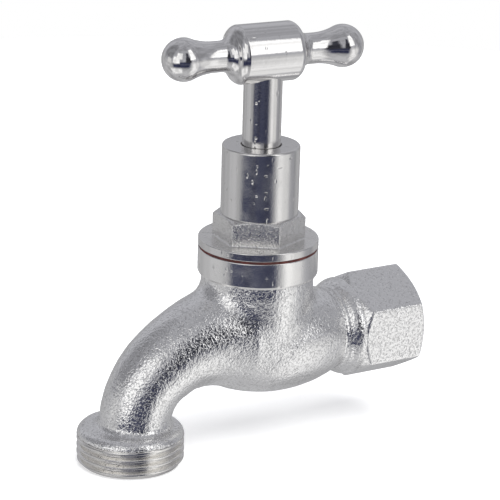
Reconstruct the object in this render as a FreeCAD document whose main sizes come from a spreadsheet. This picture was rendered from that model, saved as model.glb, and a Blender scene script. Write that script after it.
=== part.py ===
import FreeCAD, Part
import math
import os

import PartDesign
import Sketcher

# Garden tap: a stop valve with a tee handle, a threaded wall socket and a hose outlet.
# The origin is the centre of the wall socket's mouth. +X runs from the wall to the spout, +Z is up.
# Lengths are in millimetres, angles in degrees, and the tap is drawn closed.

SIZES = {
    # Where the three main axes lie
    "inlet_to_spindle": 43.0,
    "spindle_to_outlet": 35.0,
    # Wall socket: a hexagon with a pipe thread inside
    "inlet_flats": 24.6,
    "inlet_mouth_diameter": 23.2,
    "inlet_mouth_chamfer": 1.4,
    "inlet_hexagon_length": 17.6,
    "inlet_end_chamfer": 1.6,
    "inlet_swell_radius": 4.5,
    "inlet_swell_diameter": 24.9,
    "inlet_neck_place": 22.0,
    "inlet_thread_minor": 18.631,
    "inlet_thread_depth": 15.0,
    "inlet_entry_diameter": 21.2,
    # Belly: a barrel that swells on the inlet axis
    "belly_diameter": 26.7,
    "belly_place": 37.7,
    "belly_curve_radius": 40.0,
    "belly_length_ahead": 21.0,
    # Neck and collar that take the bonnet
    "collar_diameter": 29.84,
    "collar_top": 25.0,
    "collar_height": 6.6,
    "collar_chamfer": 0.6,
    "collar_step": 0.6,
    "neck_foot_diameter": 24.6,
    "blend_radius": 3.0,
    # Spout: a tapering tube that turns down in two arcs
    "spout_height": 4.5,
    "spout_root_diameter": 25.2,
    "spout_end_diameter": 17.7,
    "spout_first_radius": 34.0,
    "spout_second_radius": 16.7,
    "spout_change_angle": 38.0,
    "spout_end_offset": 1.2,
    # Outlet: a pipe thread for a hose union
    "outlet_thread_major": 26.441,
    "outlet_depth": 25.5,
    "outlet_thread_length": 7.2,
    "outlet_shoulder_radius": 2.2,
    "outlet_rim_chamfer": 1.1,
    "hose_thread_pitch": 1.814,
    "hose_thread_depth": 1.162,
    "hose_thread_root": 0.24,
    "hose_thread_flank": 27.5,
    "hose_thread_start": 0.86,
    "hose_thread_clear": 0.2,
    "hose_ring_depth": 0.9,
    "outlet_bore": 16.0,
    "outlet_bore_depth": 8.2,
    # Waterway and valve seat
    "passage_diameter": 11.5,
    "passage_start_drop": 0.5,
    "passage_end_drop": 4.5,
    "waterway_diameter": 12.0,
    "waterway_start_angle": 5.0,
    "well_depth": 9.5,
    "seat_height": 6.3,
    "seat_bore": 12.7,
    "seat_outer_diameter": 17.5,
    "seat_rise": 1.5,
    "chamber_diameter": 21.5,
    # Bonnet
    "washer_thickness": 0.6,
    "washer_recess": 0.25,
    "collar_wall": 2.92,
    "bonnet_thread_length": 7.4,
    "thread_gap": 0.05,
    "flange_inset": 0.02,
    "flange_thickness": 2.0,
    "bonnet_flats": 20.0,
    "bonnet_hexagon_height": 6.2,
    "bonnet_hexagon_chamfer": 0.8,
    "bonnet_turn": -5.0,
    "sleeve_diameter": 19.2,
    "sleeve_top": 51.15,
    "sleeve_edge": 0.3,
    "guide_entry_diameter": 10.1,
    "guide_entry_depth": 1.5,
    "jumper_recess_diameter": 20.0,
    "jumper_recess_gap": 0.5,
    # Spindle
    "stem_diameter": 9.525,
    "running_gap": 0.05,
    "screw_diameter": 13.0,
    "screw_length": 13.7,
    "screw_lead": 3.0,
    "turns_to_open": 2.5,
    "stop_gap": 0.2,
    "thrust_washer_thickness": 0.8,
    "thrust_washer_rim": 0.25,
    "seal_section": 1.5,
    "seal_groove_width": 1.9,
    "seal_spacing": 4.5,
    "seal_first_place": 2.0,
    "seal_gap": 0.03,
    # Jumper, its washer and the nut below
    "jumper_stem_diameter": 6.0,
    "jumper_stem_length": 12.0,
    "jumper_hole_depth": 12.8,
    "jumper_flange_diameter": 18.0,
    "jumper_flange_thickness": 2.0,
    "jumper_washer_diameter": 18.6,
    "jumper_washer_thickness": 3.8,
    "stud_diameter": 4.0,
    "stud_gap": 0.05,
    "stud_tail": 0.6,
    "plate_diameter": 10.0,
    "plate_thickness": 0.8,
    "nut_flats": 7.0,
    "nut_height": 3.2,
    # Tee handle
    "handle_height": 73.98,
    "handle_turn": -5.0,
    "barrel_diameter": 14.5,
    "barrel_length": 13.85,
    "flare_round_radius": 2.8,
    "flare_hollow_radius": 3.2,
    "flare_start_angle": 15.0,
    "grip_neck_diameter": 7.6,
    "grip_neck_place": 13.4,
    "grip_end_radius": 5.3,
    "grip_end_place": 21.24,
    "handle_bore_rise": 3.0,
    "stem_top_gap": 0.3,
    "pin_diameter": 2.5,
    "pin_length": 9.0,
    "pin_recess": 0.4,
    "pin_gap": 0.02,
}

# Turns from level at which the spout's round sections stand, in degrees
SPOUT_STATIONS = (0, 14, 26, 38, 52, 70, 90)

# Turns of the hose thread, from below the rim to its end under the shoulder, at the back
HOSE_THREAD_TURNS = 4

# Arcs that the rim of the ring under the hose thread is drawn with
THREAD_RING_ARCS = 8


class Size:
    """A number together with the spreadsheet formula that gives it."""

    def __init__(self, value, formula):
        self.value = float(value)
        self.formula = formula

    def combine(self, other, sign, result):
        text = other.formula if isinstance(other, Size) else repr(float(other))
        return Size(result, f"({self.formula} {sign} {text})")

    def __add__(self, other):
        return self.combine(other, "+", self.value + number(other))

    def __sub__(self, other):
        return self.combine(other, "-", self.value - number(other))

    def __mul__(self, other):
        return self.combine(other, "*", self.value * number(other))

    def __truediv__(self, other):
        return self.combine(other, "/", self.value / number(other))

    def __neg__(self):
        return Size(-self.value, f"(-1 * {self.formula})")


def number(item):
    """The plain value of a size or of a bare number."""
    return item.value if isinstance(item, Size) else float(item)


def as_size(item):
    """A bare number as a size, so that every coordinate can be bound."""
    return item if isinstance(item, Size) else Size(item, repr(float(item)))


def sine(angle):
    return Size(math.sin(math.radians(angle.value)), f"sin({angle.formula} * 1 deg)")


def cosine(angle):
    return Size(math.cos(math.radians(angle.value)), f"cos({angle.formula} * 1 deg)")


def root(item):
    return Size(math.sqrt(item.value), f"sqrt({item.formula})")


document = FreeCAD.newDocument("garden_tap")
sheet = document.addObject("Spreadsheet::Sheet", "Sizes")


def fill_sheet():
    """Put every driving dimension in the sheet and return them as sizes."""
    sizes = {}
    for row, (name, value) in enumerate(SIZES.items(), start=1):
        sheet.set(f"A{row}", name)
        sheet.set(f"B{row}", str(value))
        sheet.setAlias(f"B{row}", name)
        sizes[name] = Size(value, f"Sizes.{name}")
    document.recompute()
    return sizes


class Dimensions:
    """The driving dimensions by name, with the places that follow from them."""

    def __init__(self, sizes):
        self.__dict__.update(sizes)
        self.outlet_axis = self.inlet_to_spindle + self.spindle_to_outlet
        self.bonnet_thread_diameter = self.collar_diameter - self.collar_wall * 2
        self.flange_diameter = self.collar_diameter - self.flange_inset * 2
        self.neck_diameter = self.collar_diameter - self.collar_step * 2
        self.washer_top = self.collar_top + self.washer_thickness
        self.hexagon_foot = self.washer_top + self.flange_thickness
        self.lift = self.screw_lead * self.turns_to_open
        self.jumper_seat = self.seat_height + self.jumper_washer_thickness
        self.jumper_top = self.jumper_seat + self.jumper_flange_thickness
        self.screw_top = self.jumper_top + self.screw_length
        self.bonnet_stop = self.screw_top + self.thrust_washer_thickness + self.lift + self.stop_gap
        self.guide_bore = self.stem_diameter + self.running_gap * 2
        self.stem_top = self.handle_height + self.handle_bore_rise - self.stem_top_gap
        self.spout_end = self.outlet_axis - self.spout_end_offset


class Outline:
    """A closed sketch of lines and arcs whose corners are bound to the sheet."""

    def __init__(self, body, name, plane, offset=None):
        self.sketch = body.newObject("Sketcher::SketchObject", name)
        planes = {item.Role: item for item in body.Origin.OriginFeatures}
        self.sketch.AttachmentSupport = [(planes[plane], "")]
        self.sketch.MapMode = "FlatFace"
        if offset is not None:
            self.sketch.AttachmentOffset = FreeCAD.Placement(
                FreeCAD.Vector(0, 0, offset.value), FreeCAD.Rotation())
            self.sketch.setExpression("AttachmentOffset.Base.z", offset.formula)
        self.corners = []
        self.edges = []

    def start(self, along, up):
        self.corners.append((as_size(along), as_size(up)))
        return self

    def line(self, along, up):
        self.edges.append(None)
        return self.start(along, up)

    def arc(self, along, up, radius, clockwise):
        """An arc of a given radius from the last corner to this one."""
        self.edges.append((as_size(radius), clockwise))
        return self.start(along, up)

    def close(self):
        """Draw the edges back to the first corner and bind every size."""
        self.edges.append(None)
        return self.draw(len(self.corners))

    def close_with_arc(self, radius, clockwise):
        """Draw the edges, with an arc of a given radius back to the first corner."""
        self.edges.append((as_size(radius), clockwise))
        return self.draw(len(self.corners))

    def leave_open(self):
        """Draw the edges as a route that ends at the last corner."""
        sketch = self.draw(len(self.edges) - 1)
        last = len(self.edges) - 1
        bind_point(sketch, last, 3 - start_point(self.edges[last]), self.corners[-1])
        return sketch

    def draw(self, joints):
        count = len(self.corners)
        for index, edge in enumerate(self.edges):
            first = vector(self.corners[index])
            last = vector(self.corners[(index + 1) % count])
            self.sketch.addGeometry(edge_shape(first, last, edge), False)
        for index in range(joints):
            join_ends(self.sketch, self.edges, index, (index + 1) % len(self.edges))
        for index in range(len(self.edges)):
            bind_corner(self.sketch, self.edges, index, self.corners[index])
        for index, edge in enumerate(self.edges):
            if edge is not None:
                place = self.sketch.addConstraint(
                    Sketcher.Constraint("Radius", index, edge[0].value))
                self.sketch.setExpression(f"Constraints[{place}]", edge[0].formula)
        return self.sketch


def vector(corner):
    return FreeCAD.Vector(corner[0].value, corner[1].value, 0)


def arc_centre(first, last, radius, clockwise):
    """Centre of the short arc between two corners."""
    chord = last - first
    half = chord.Length / 2
    rise = math.sqrt(max(radius * radius - half * half, 0.0))
    side = FreeCAD.Vector(chord.y, -chord.x, 0).normalize()
    if not clockwise:
        side = side * -1
    return (first + last) * 0.5 + side * rise


def edge_shape(first, last, edge):
    """A line, or an arc of circle, which a sketch always stores counter-clockwise."""
    if edge is None:
        return Part.LineSegment(first, last)
    radius, clockwise = edge
    centre = arc_centre(first, last, radius.value, clockwise)
    start, end = (last, first) if clockwise else (first, last)
    circle = Part.Circle(centre, FreeCAD.Vector(0, 0, 1), radius.value)
    start_angle = math.atan2(start.y - centre.y, start.x - centre.x)
    end_angle = math.atan2(end.y - centre.y, end.x - centre.x)
    return Part.ArcOfCircle(circle, start_angle, end_angle)


def start_point(edge):
    """The sketch's number for the corner where an edge begins."""
    return 2 if edge is not None and edge[1] else 1


def join_ends(sketch, edges, index, following):
    end = 3 - start_point(edges[index])
    sketch.addConstraint(
        Sketcher.Constraint("Coincident", index, end, following, start_point(edges[following])))


def bind_corner(sketch, edges, index, corner):
    bind_point(sketch, index, start_point(edges[index]), corner)


def bind_point(sketch, index, point, corner):
    """Hold a point on an axis where its coordinate is nothing, else at its size."""
    for kind, axis, size in (("DistanceX", -2, corner[0]), ("DistanceY", -1, corner[1])):
        if size.formula == "0.0":
            sketch.addConstraint(Sketcher.Constraint("PointOnObject", index, point, axis))
            continue
        place = sketch.addConstraint(
            Sketcher.Constraint(kind, -1, 1, index, point, size.value))
        sketch.setExpression(f"Constraints[{place}]", size.formula)


def add_axis(sketch, along, up, upright):
    """A construction line for turning about, through a bound place."""
    step = FreeCAD.Vector(0, 10, 0) if upright else FreeCAD.Vector(10, 0, 0)
    corner = (as_size(along), as_size(up))
    foot = vector(corner)
    index = sketch.addGeometry(Part.LineSegment(foot, foot + step), True)
    sketch.addConstraint(Sketcher.Constraint("Vertical" if upright else "Horizontal", index))
    sketch.addConstraint(Sketcher.Constraint("Distance", index, 10.0))
    for kind, size in (("DistanceX", corner[0]), ("DistanceY", corner[1])):
        place = sketch.addConstraint(Sketcher.Constraint(kind, -1, 1, index, 1, size.value))
        sketch.setExpression(f"Constraints[{place}]", size.formula)
    return (sketch, ["Axis0"])


def new_body(label):
    body = document.addObject("PartDesign::Body", label)
    body.Label = label
    return body


def turned(body, name, sketch, axis, cut=False):
    """Turn a sketch about an axis, adding to the body or cutting from it."""
    kind = "PartDesign::Groove" if cut else "PartDesign::Revolution"
    feature = body.newObject(kind, name)
    feature.Profile = sketch
    feature.ReferenceAxis = axis
    feature.Angle = 360
    document.recompute()
    return feature


def piped(body, name, section, spine, cut=False):
    """Run a round section along a route, adding to the body or cutting from it."""
    kind = "PartDesign::SubtractivePipe" if cut else "PartDesign::AdditivePipe"
    feature = body.newObject(kind, name)
    feature.Profile = section
    feature.Spine = (spine, [f"Edge{step + 1}" for step in range(spine.GeometryCount)])
    document.recompute()
    return feature


def padded(body, name, sketch, length, reverse=False, cut=False, both=False):
    """Give a sketch a thickness, adding to the body or cutting from it."""
    kind = "PartDesign::Pocket" if cut else "PartDesign::Pad"
    feature = body.newObject(kind, name)
    feature.Profile = sketch
    feature.Length = length.value
    feature.setExpression("Length", length.formula)
    feature.Reversed = reverse
    feature.Midplane = both
    document.recompute()
    return feature


def hexagon(body, name, plane, flats, offset=None):
    """A six-sided sketch on the body's own axis, with a corner up and a corner down."""
    outline = Outline(body, name, plane, offset)
    corner = flats / math.sqrt(3)
    half = corner / 2
    side = flats / 2
    outline.start(side, half).line(0, corner).line(-side, half)
    outline.line(-side, -half).line(0, -corner).line(side, -half)
    return outline.close()


def rectangle(body, name, plane, left, low, right, high):
    outline = Outline(body, name, plane)
    outline.start(left, low).line(right, low).line(right, high).line(left, high)
    return outline.close()


def add_circle(sketch, index, centre, radius):
    """Draw a circle in a sketch, as its edge of the given number, and bind it to the sheet."""
    corner = (as_size(centre[0]), as_size(centre[1]))
    sketch.addGeometry(Part.Circle(vector(corner), FreeCAD.Vector(0, 0, 1), radius.value), False)
    place = sketch.addConstraint(Sketcher.Constraint("Radius", index, radius.value))
    sketch.setExpression(f"Constraints[{place}]", radius.formula)
    bind_point(sketch, index, 3, corner)
    return sketch


def disc(body, name, plane, centre, radius, offset=None):
    """A round sketch with its centre bound to the sheet."""
    outline = Outline(body, name, plane, offset)
    return add_circle(outline.sketch, 0, centre, radius)


def belly_radius(d, along):
    """Radius of the belly's barrel curve at a place along the inlet axis."""
    run = along - d.belly_place
    bend = d.belly_curve_radius
    return d.belly_diameter / 2 - bend + root(bend * bend - run * run)


def spout_point(d, turn):
    """Centre of the spout where it has turned down by so many degrees."""
    first = d.spout_first_radius
    second = d.spout_second_radius
    change = d.spout_change_angle
    start = d.spout_end - first * sine(change) - second * (Size(1, "1") - sine(change))
    if turn.value <= change.value:
        return start + first * sine(turn), d.spout_height - first * (Size(1, "1") - cosine(turn))
    along = start + first * sine(change) + second * (sine(turn) - sine(change))
    up = d.spout_height - first * (Size(1, "1") - cosine(change))
    return along, up - second * (cosine(change) - cosine(turn))


def spout_radius(d, turn):
    """The spout narrows quickly at its root and hardly at all near the outlet."""
    rest = Size(1, "1") - turn / 90
    extra = (d.spout_root_diameter - d.spout_end_diameter) / 2
    return d.spout_end_diameter / 2 + extra * rest * rest * rest


def spout_section(body, name, centre, turn, radius):
    """A round section square to the spout's centre line."""
    sketch = body.newObject("Sketcher::SketchObject", name)
    planes = {item.Role: item for item in body.Origin.OriginFeatures}
    sketch.AttachmentSupport = [(planes["XY_Plane"], "")]
    sketch.MapMode = "FlatFace"
    sketch.AttachmentOffset = FreeCAD.Placement(
        FreeCAD.Vector(centre[0].value, 0, centre[1].value),
        FreeCAD.Rotation(FreeCAD.Vector(0, 1, 0), 90 + turn))
    sketch.setExpression("AttachmentOffset.Base.x", centre[0].formula)
    sketch.setExpression("AttachmentOffset.Base.z", centre[1].formula)
    circle = Part.Circle(FreeCAD.Vector(), FreeCAD.Vector(0, 0, 1), radius.value)
    sketch.addGeometry(circle, False)
    sketch.addConstraint(Sketcher.Constraint("Coincident", 0, 3, -1, 1))
    place = sketch.addConstraint(Sketcher.Constraint("Radius", 0, radius.value))
    sketch.setExpression(f"Constraints[{place}]", radius.formula)
    return sketch


def make_belly(body, d):
    """The barrel on the inlet axis, from the groove behind the hexagon to the spout's root."""
    front = d.belly_place + d.belly_length_ahead
    outline = Outline(body, "belly_outline", "XZ_Plane")
    outline.start(d.inlet_neck_place, 0)
    outline.line(d.inlet_neck_place, belly_radius(d, d.inlet_neck_place))
    outline.arc(front, belly_radius(d, front), d.belly_curve_radius, True)
    outline.line(front, 0)
    sketch = outline.close()
    return turned(body, "belly", sketch, (sketch, ["H_Axis"]))


def make_socket(body, d):
    """The hexagon at the wall with both ends chamfered, and the round swell behind it."""
    sketch = hexagon(body, "socket_hexagon", "YZ_Plane", d.inlet_flats)
    padded(body, "socket", sketch, d.inlet_hexagon_length)
    corner = d.inlet_flats / math.sqrt(3)
    clear = corner + 1
    mouth = Outline(body, "mouth_outline", "XZ_Plane")
    mouth.start(0, d.inlet_mouth_diameter / 2).line(d.inlet_mouth_chamfer, corner)
    mouth.line(d.inlet_mouth_chamfer, clear).line(0, clear)
    sketch = mouth.close()
    turned(body, "mouth_chamfer", sketch, (sketch, ["H_Axis"]), cut=True)
    swell = d.inlet_swell_diameter / 2
    end = Outline(body, "hexagon_end_outline", "XZ_Plane")
    end.start(d.inlet_hexagon_length - d.inlet_end_chamfer, corner)
    end.line(d.inlet_hexagon_length, swell).line(d.inlet_hexagon_length, clear)
    end.line(d.inlet_hexagon_length - d.inlet_end_chamfer, clear)
    sketch = end.close()
    turned(body, "hexagon_end_chamfer", sketch, (sketch, ["H_Axis"]), cut=True)
    outline = Outline(body, "swell_outline", "XZ_Plane")
    outline.start(d.inlet_hexagon_length, 0).line(d.inlet_hexagon_length, swell)
    outline.arc(d.inlet_neck_place, belly_radius(d, d.inlet_neck_place), d.inlet_swell_radius,
                True)
    outline.line(d.inlet_neck_place, 0)
    sketch = outline.close()
    return turned(body, "swell", sketch, (sketch, ["H_Axis"]))


def make_neck(body, d):
    """The upright neck and the machined collar above it, turned about the spindle's axis."""
    collar_foot = d.collar_top - d.collar_height
    axis = d.inlet_to_spindle
    outline = Outline(body, "neck_outline", "XZ_Plane")
    outline.start(axis, 0).line(axis + d.neck_foot_diameter / 2, 0)
    outline.line(axis + d.neck_diameter / 2, collar_foot)
    outline.line(axis + d.collar_diameter / 2 - d.collar_chamfer / 2, collar_foot)
    outline.line(axis + d.collar_diameter / 2, collar_foot + d.collar_chamfer)
    outline.line(axis + d.collar_diameter / 2, d.collar_top)
    outline.line(axis, d.collar_top)
    sketch = outline.close()
    return turned(body, "neck_and_collar", sketch, add_axis(sketch, axis, 0, True))


def make_spout(body, d):
    """The tapering tube from the belly to the outlet, through round sections."""
    first = spout_section(body, "spout_root", (d.inlet_to_spindle, d.spout_height), 0,
                          d.spout_root_diameter / 2)
    sections = []
    for turn in SPOUT_STATIONS:
        angle = Size(turn, str(turn))
        sections.append(spout_section(body, f"spout_section_{turn}", spout_point(d, angle), turn,
                                      spout_radius(d, angle)))
    foot = d.outlet_thread_length - d.outlet_depth
    sections.append(spout_section(body, "spout_foot", (d.spout_end, foot), 90,
                                  d.spout_end_diameter / 2))
    loft = body.newObject("PartDesign::AdditiveLoft", "spout")
    loft.Profile = first
    loft.Sections = sections
    loft.Ruled = False
    document.recompute()
    return loft


def make_outlet(body, d):
    """The round outlet with its shoulder, and a recess for the ring that carries the thread."""
    axis = d.outlet_axis
    outer = d.outlet_thread_major / 2
    core = outer - d.hose_thread_depth - d.hose_ring_depth
    bend = d.outlet_shoulder_radius
    slope = bend / math.sqrt(2)
    top = d.outlet_thread_length - d.outlet_depth
    outline = Outline(body, "outlet_outline", "XZ_Plane")
    outline.start(axis, -d.outlet_depth)
    outline.line(axis + outer - d.outlet_rim_chamfer, -d.outlet_depth)
    outline.line(axis + outer, d.outlet_rim_chamfer - d.outlet_depth)
    outline.line(axis + core, d.outlet_rim_chamfer - d.outlet_depth)
    outline.line(axis + core, top).line(axis + outer, top)
    outline.line(axis + outer - bend + slope, top + slope)
    outline.line(axis + outer - bend, top + bend).line(axis, top + bend)
    sketch = outline.close()
    return turned(body, "outlet", sketch, add_axis(sketch, axis, 0, True))


def add_thread_ring(body, d):
    """The ring that carries the thread, its rim drawn as equal arcs.

    The arcs leave the thread's crest as short bands, each a plain piece of one cylinder that can be measured.
    """
    axis = d.outlet_axis
    outer = d.outlet_thread_major / 2
    foot = d.outlet_rim_chamfer - d.outlet_depth
    outline = Outline(body, "thread_ring_outline", "XY_Plane", foot)
    outline.start(axis + outer, 0)
    for place in range(1, THREAD_RING_ARCS):
        turn = 2 * math.pi * place / THREAD_RING_ARCS
        outline.arc(axis + outer * math.cos(turn), outer * math.sin(turn), outer, clockwise=False)
    sketch = outline.close_with_arc(outer, clockwise=False)
    add_circle(sketch, THREAD_RING_ARCS, (axis, 0), outer - d.hose_thread_depth - d.hose_ring_depth)
    ring = padded(body, "thread_ring", sketch, d.outlet_thread_length - d.outlet_rim_chamfer)
    ring.Refine = False
    document.recompute()
    return ring


def cut_inlet(body, d):
    """The socket's thread hole with its lead-in."""
    entry = (d.inlet_entry_diameter - d.inlet_thread_minor) / 2
    outline = Outline(body, "inlet_hole_outline", "XZ_Plane")
    outline.start(-1, 0).line(-1, d.inlet_entry_diameter / 2)
    outline.line(0, d.inlet_entry_diameter / 2)
    outline.line(entry, d.inlet_thread_minor / 2)
    outline.line(d.inlet_thread_depth, d.inlet_thread_minor / 2)
    outline.line(d.inlet_thread_depth, 0)
    sketch = outline.close()
    return turned(body, "inlet_hole", sketch, (sketch, ["H_Axis"]), cut=True)


def cut_chamber(body, d):
    """The chamber under the bonnet, with the raised seat left standing on its floor."""
    axis = d.inlet_to_spindle
    floor = d.seat_height - d.seat_rise
    thread_foot = d.collar_top - d.bonnet_thread_length
    thread = d.bonnet_thread_diameter / 2
    outline = Outline(body, "chamber_outline", "XZ_Plane")
    outline.start(axis, d.seat_height).line(axis + d.seat_outer_diameter / 2, d.seat_height)
    outline.line(axis + d.seat_outer_diameter / 2, floor)
    outline.line(axis + d.chamber_diameter / 2, floor)
    outline.line(axis + d.chamber_diameter / 2, thread_foot)
    outline.line(axis + thread, thread_foot)
    outline.line(axis + thread, d.collar_top + 1)
    outline.line(axis, d.collar_top + 1)
    sketch = outline.close()
    return turned(body, "chamber", sketch, add_axis(sketch, axis, 0, True), cut=True)


def cut_well(body, d):
    """The well below the seat, which the inlet passage feeds."""
    axis = d.inlet_to_spindle
    outline = Outline(body, "well_outline", "XZ_Plane")
    outline.start(axis, -d.well_depth).line(axis + d.seat_bore / 2, -d.well_depth)
    outline.line(axis + d.seat_bore / 2, d.seat_height + 0.5).line(axis, d.seat_height + 0.5)
    sketch = outline.close()
    return turned(body, "well", sketch, add_axis(sketch, axis, 0, True), cut=True)


def cut_passage(body, d):
    """The drilled passage that slopes from the socket down to the well."""
    start = d.inlet_thread_depth - 2
    end = d.inlet_to_spindle - d.seat_bore / 4
    fall = d.passage_end_drop - d.passage_start_drop
    run = end - start
    length = root(run * run + fall * fall)
    aside = fall / length * (d.passage_diameter / 2)
    above = run / length * (d.passage_diameter / 2)
    outline = Outline(body, "passage_outline", "XZ_Plane")
    outline.start(start, -d.passage_start_drop)
    outline.line(start + aside, above - d.passage_start_drop)
    outline.line(end + aside, above - d.passage_end_drop)
    outline.line(end, -d.passage_end_drop)
    sketch = outline.close()
    return turned(body, "passage", sketch, (sketch, ["Edge4"]), cut=True)


def cut_waterway(body, d):
    """The waterway through the spout and the wider bore at its mouth."""
    start = d.waterway_start_angle
    change = d.spout_change_angle
    level = Size(90, "90")
    centre = spout_point(d, start)
    route = Outline(body, "waterway_route", "XZ_Plane")
    route.start(*centre)
    route.arc(*spout_point(d, change), d.spout_first_radius, True)
    route.arc(*spout_point(d, level), d.spout_second_radius, True)
    route.line(d.spout_end, d.outlet_bore_depth - d.outlet_depth - 1)
    spine = route.leave_open()
    section = spout_section(body, "waterway_section", centre, start.value,
                            d.waterway_diameter / 2)
    piped(body, "waterway", section, spine, cut=True)
    outline = Outline(body, "outlet_bore_outline", "XZ_Plane")
    axis = d.outlet_axis
    outline.start(axis, -d.outlet_depth - 1)
    outline.line(axis + d.outlet_bore / 2, -d.outlet_depth - 1)
    outline.line(axis + d.outlet_bore / 2, d.outlet_bore_depth - d.outlet_depth)
    outline.line(axis, d.outlet_bore_depth - d.outlet_depth)
    sketch = outline.close()
    return turned(body, "outlet_bore", sketch, add_axis(sketch, axis, 0, True), cut=True)


def cut_hose_thread(body, d):
    """The outlet's pipe thread, a right-handed groove with sloping flanks that begins below the rim."""
    crest = d.outlet_axis - d.outlet_thread_major / 2
    mouth = crest - d.hose_thread_clear
    root = crest + d.hose_thread_depth
    height = -d.outlet_depth - d.hose_thread_start
    half_root = d.hose_thread_root / 2
    slope = sine(d.hose_thread_flank) / cosine(d.hose_thread_flank)
    half_mouth = half_root + (root - mouth) * slope
    outline = Outline(body, "hose_thread_outline", "XZ_Plane")
    outline.start(mouth, height - half_mouth).line(root, height - half_root)
    outline.line(root, height + half_root).line(mouth, height + half_mouth)
    sketch = outline.close()
    thread = body.newObject("PartDesign::SubtractiveHelix", "hose_thread")
    thread.Profile = sketch
    thread.ReferenceAxis = add_axis(sketch, d.outlet_axis, 0, True)
    thread.Mode = "pitch-turns-angle"
    thread.Pitch = d.hose_thread_pitch.value
    thread.setExpression("Pitch", d.hose_thread_pitch.formula)
    thread.Turns = HOSE_THREAD_TURNS
    thread.Refine = False
    document.recompute()
    return thread


def edges_between(shape, *pairs):
    """Names of the edges where two given kinds of surface meet, such as a cone and a loft."""
    names = []
    for place, edge in enumerate(shape.Edges, start=1):
        kinds = sorted(type(face.Surface).__name__ for face in shape.Faces
                       if any(side.isSame(edge) for side in face.Edges))
        if kinds in [sorted(pair) for pair in pairs]:
            names.append(f"Edge{place}")
    return names


def blend_castings(body, d):
    """The soft hollows that casting leaves where neck, belly and spout run into each other."""
    barrel, cone, loft = "SurfaceOfRevolution", "Cone", "BSplineSurface"
    edges = edges_between(body.Shape, (barrel, cone), (barrel, loft), (cone, loft))
    base = body.Tip
    feature = body.newObject("PartDesign::Fillet", "body_blends")
    feature.Base = (base, edges)
    feature.Radius = d.blend_radius.value
    feature.setExpression("Radius", d.blend_radius.formula)
    document.recompute()
    return feature


def cut_for_certain(cut, body, d):
    """Make one cut and stop if it takes nothing away."""
    before = body.Shape.Volume
    cut(body, d)
    if body.Shape.Volume >= before:
        raise RuntimeError(f"{cut.__name__} removed nothing")


def make_casting(d):
    """The cast body: socket, belly, neck and collar, spout and outlet, with all its waterways."""
    body = new_body("body_casting")
    make_belly(body, d)
    make_socket(body, d)
    make_neck(body, d)
    make_spout(body, d)
    make_outlet(body, d)
    blend_castings(body, d)
    for cut in (cut_inlet, cut_chamber, cut_well, cut_passage, cut_waterway):
        cut_for_certain(cut, body, d)
    add_thread_ring(body, d)
    cut_for_certain(cut_hose_thread, body, d)
    return body


def place_on_spindle(body, d):
    """Pieces on the spindle are drawn about their own upright axis and then moved ahead."""
    body.setExpression("Placement.Base.x", d.inlet_to_spindle.formula)
    return body


def ring_piece(label, d, bore, rim, foot, top):
    """A flat ring about the spindle's axis."""
    body = new_body(label)
    sketch = rectangle(body, f"{label}_outline", "XZ_Plane", bore / 2, foot, rim / 2, top)
    turned(body, f"{label}_ring", sketch, (sketch, ["V_Axis"]))
    return place_on_spindle(body, d)


def make_body_washer(d):
    """The fibre washer between the collar and the bonnet's flange, a little inside their rims."""
    rim = d.collar_diameter - d.washer_recess * 2
    bore = d.bonnet_thread_diameter + d.thread_gap * 2
    return ring_piece("body_washer", d, bore, rim, d.collar_top, d.washer_top)


def make_bonnet(d):
    """The bonnet: screwed sleeve, flange, hexagon and the long guide for the spindle."""
    body = new_body("bonnet")
    foot = d.collar_top - d.bonnet_thread_length
    thread = d.bonnet_thread_diameter / 2 - d.thread_gap
    sleeve = d.sleeve_diameter / 2
    hexagon_top = d.hexagon_foot + d.bonnet_hexagon_height
    outline = Outline(body, "bonnet_outline", "XZ_Plane")
    outline.start(0, foot).line(thread, foot).line(thread, d.washer_top)
    outline.line(d.flange_diameter / 2, d.washer_top)
    outline.line(d.flange_diameter / 2, d.hexagon_foot)
    outline.line(sleeve, d.hexagon_foot)
    outline.line(sleeve, d.sleeve_top - d.sleeve_edge)
    outline.line(sleeve - d.sleeve_edge, d.sleeve_top)
    outline.line(0, d.sleeve_top)
    sketch = outline.close()
    turned(body, "bonnet_turned", sketch, (sketch, ["V_Axis"]))
    sketch = hexagon(body, "bonnet_hexagon", "XY_Plane", d.bonnet_flats, d.hexagon_foot)
    padded(body, "bonnet_nut", sketch, d.bonnet_hexagon_height)
    corner = d.bonnet_flats / math.sqrt(3)
    edge = Outline(body, "nut_chamfer_outline", "XZ_Plane")
    edge.start(corner, hexagon_top - d.bonnet_hexagon_chamfer).line(corner + 1, hexagon_top)
    edge.line(d.bonnet_flats / 2, hexagon_top)
    sketch = edge.close()
    turned(body, "nut_chamfer", sketch, (sketch, ["V_Axis"]), cut=True)
    cut_bonnet_bore(body, d, foot)
    body.setExpression("Placement.Rotation.Angle", d.bonnet_turn.formula)
    return place_on_spindle(body, d)


def cut_bonnet_bore(body, d, foot):
    """Room for the jumper, the spindle's screw, the guide and the open entry at the top."""
    recess_top = d.jumper_top + d.lift + d.jumper_recess_gap
    screw = d.screw_diameter / 2 + d.running_gap
    entry_foot = d.sleeve_top - d.guide_entry_depth
    bore = Outline(body, "bonnet_bore_outline", "XZ_Plane")
    bore.start(0, foot - 1).line(d.jumper_recess_diameter / 2, foot - 1)
    bore.line(d.jumper_recess_diameter / 2, recess_top)
    bore.line(screw, recess_top).line(screw, d.bonnet_stop)
    bore.line(d.guide_bore / 2, d.bonnet_stop).line(d.guide_bore / 2, entry_foot)
    bore.line(d.guide_entry_diameter / 2, entry_foot)
    bore.line(d.guide_entry_diameter / 2, d.sleeve_top + 1).line(0, d.sleeve_top + 1)
    sketch = bore.close()
    return turned(body, "bonnet_bore", sketch, (sketch, ["V_Axis"]), cut=True)


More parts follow.
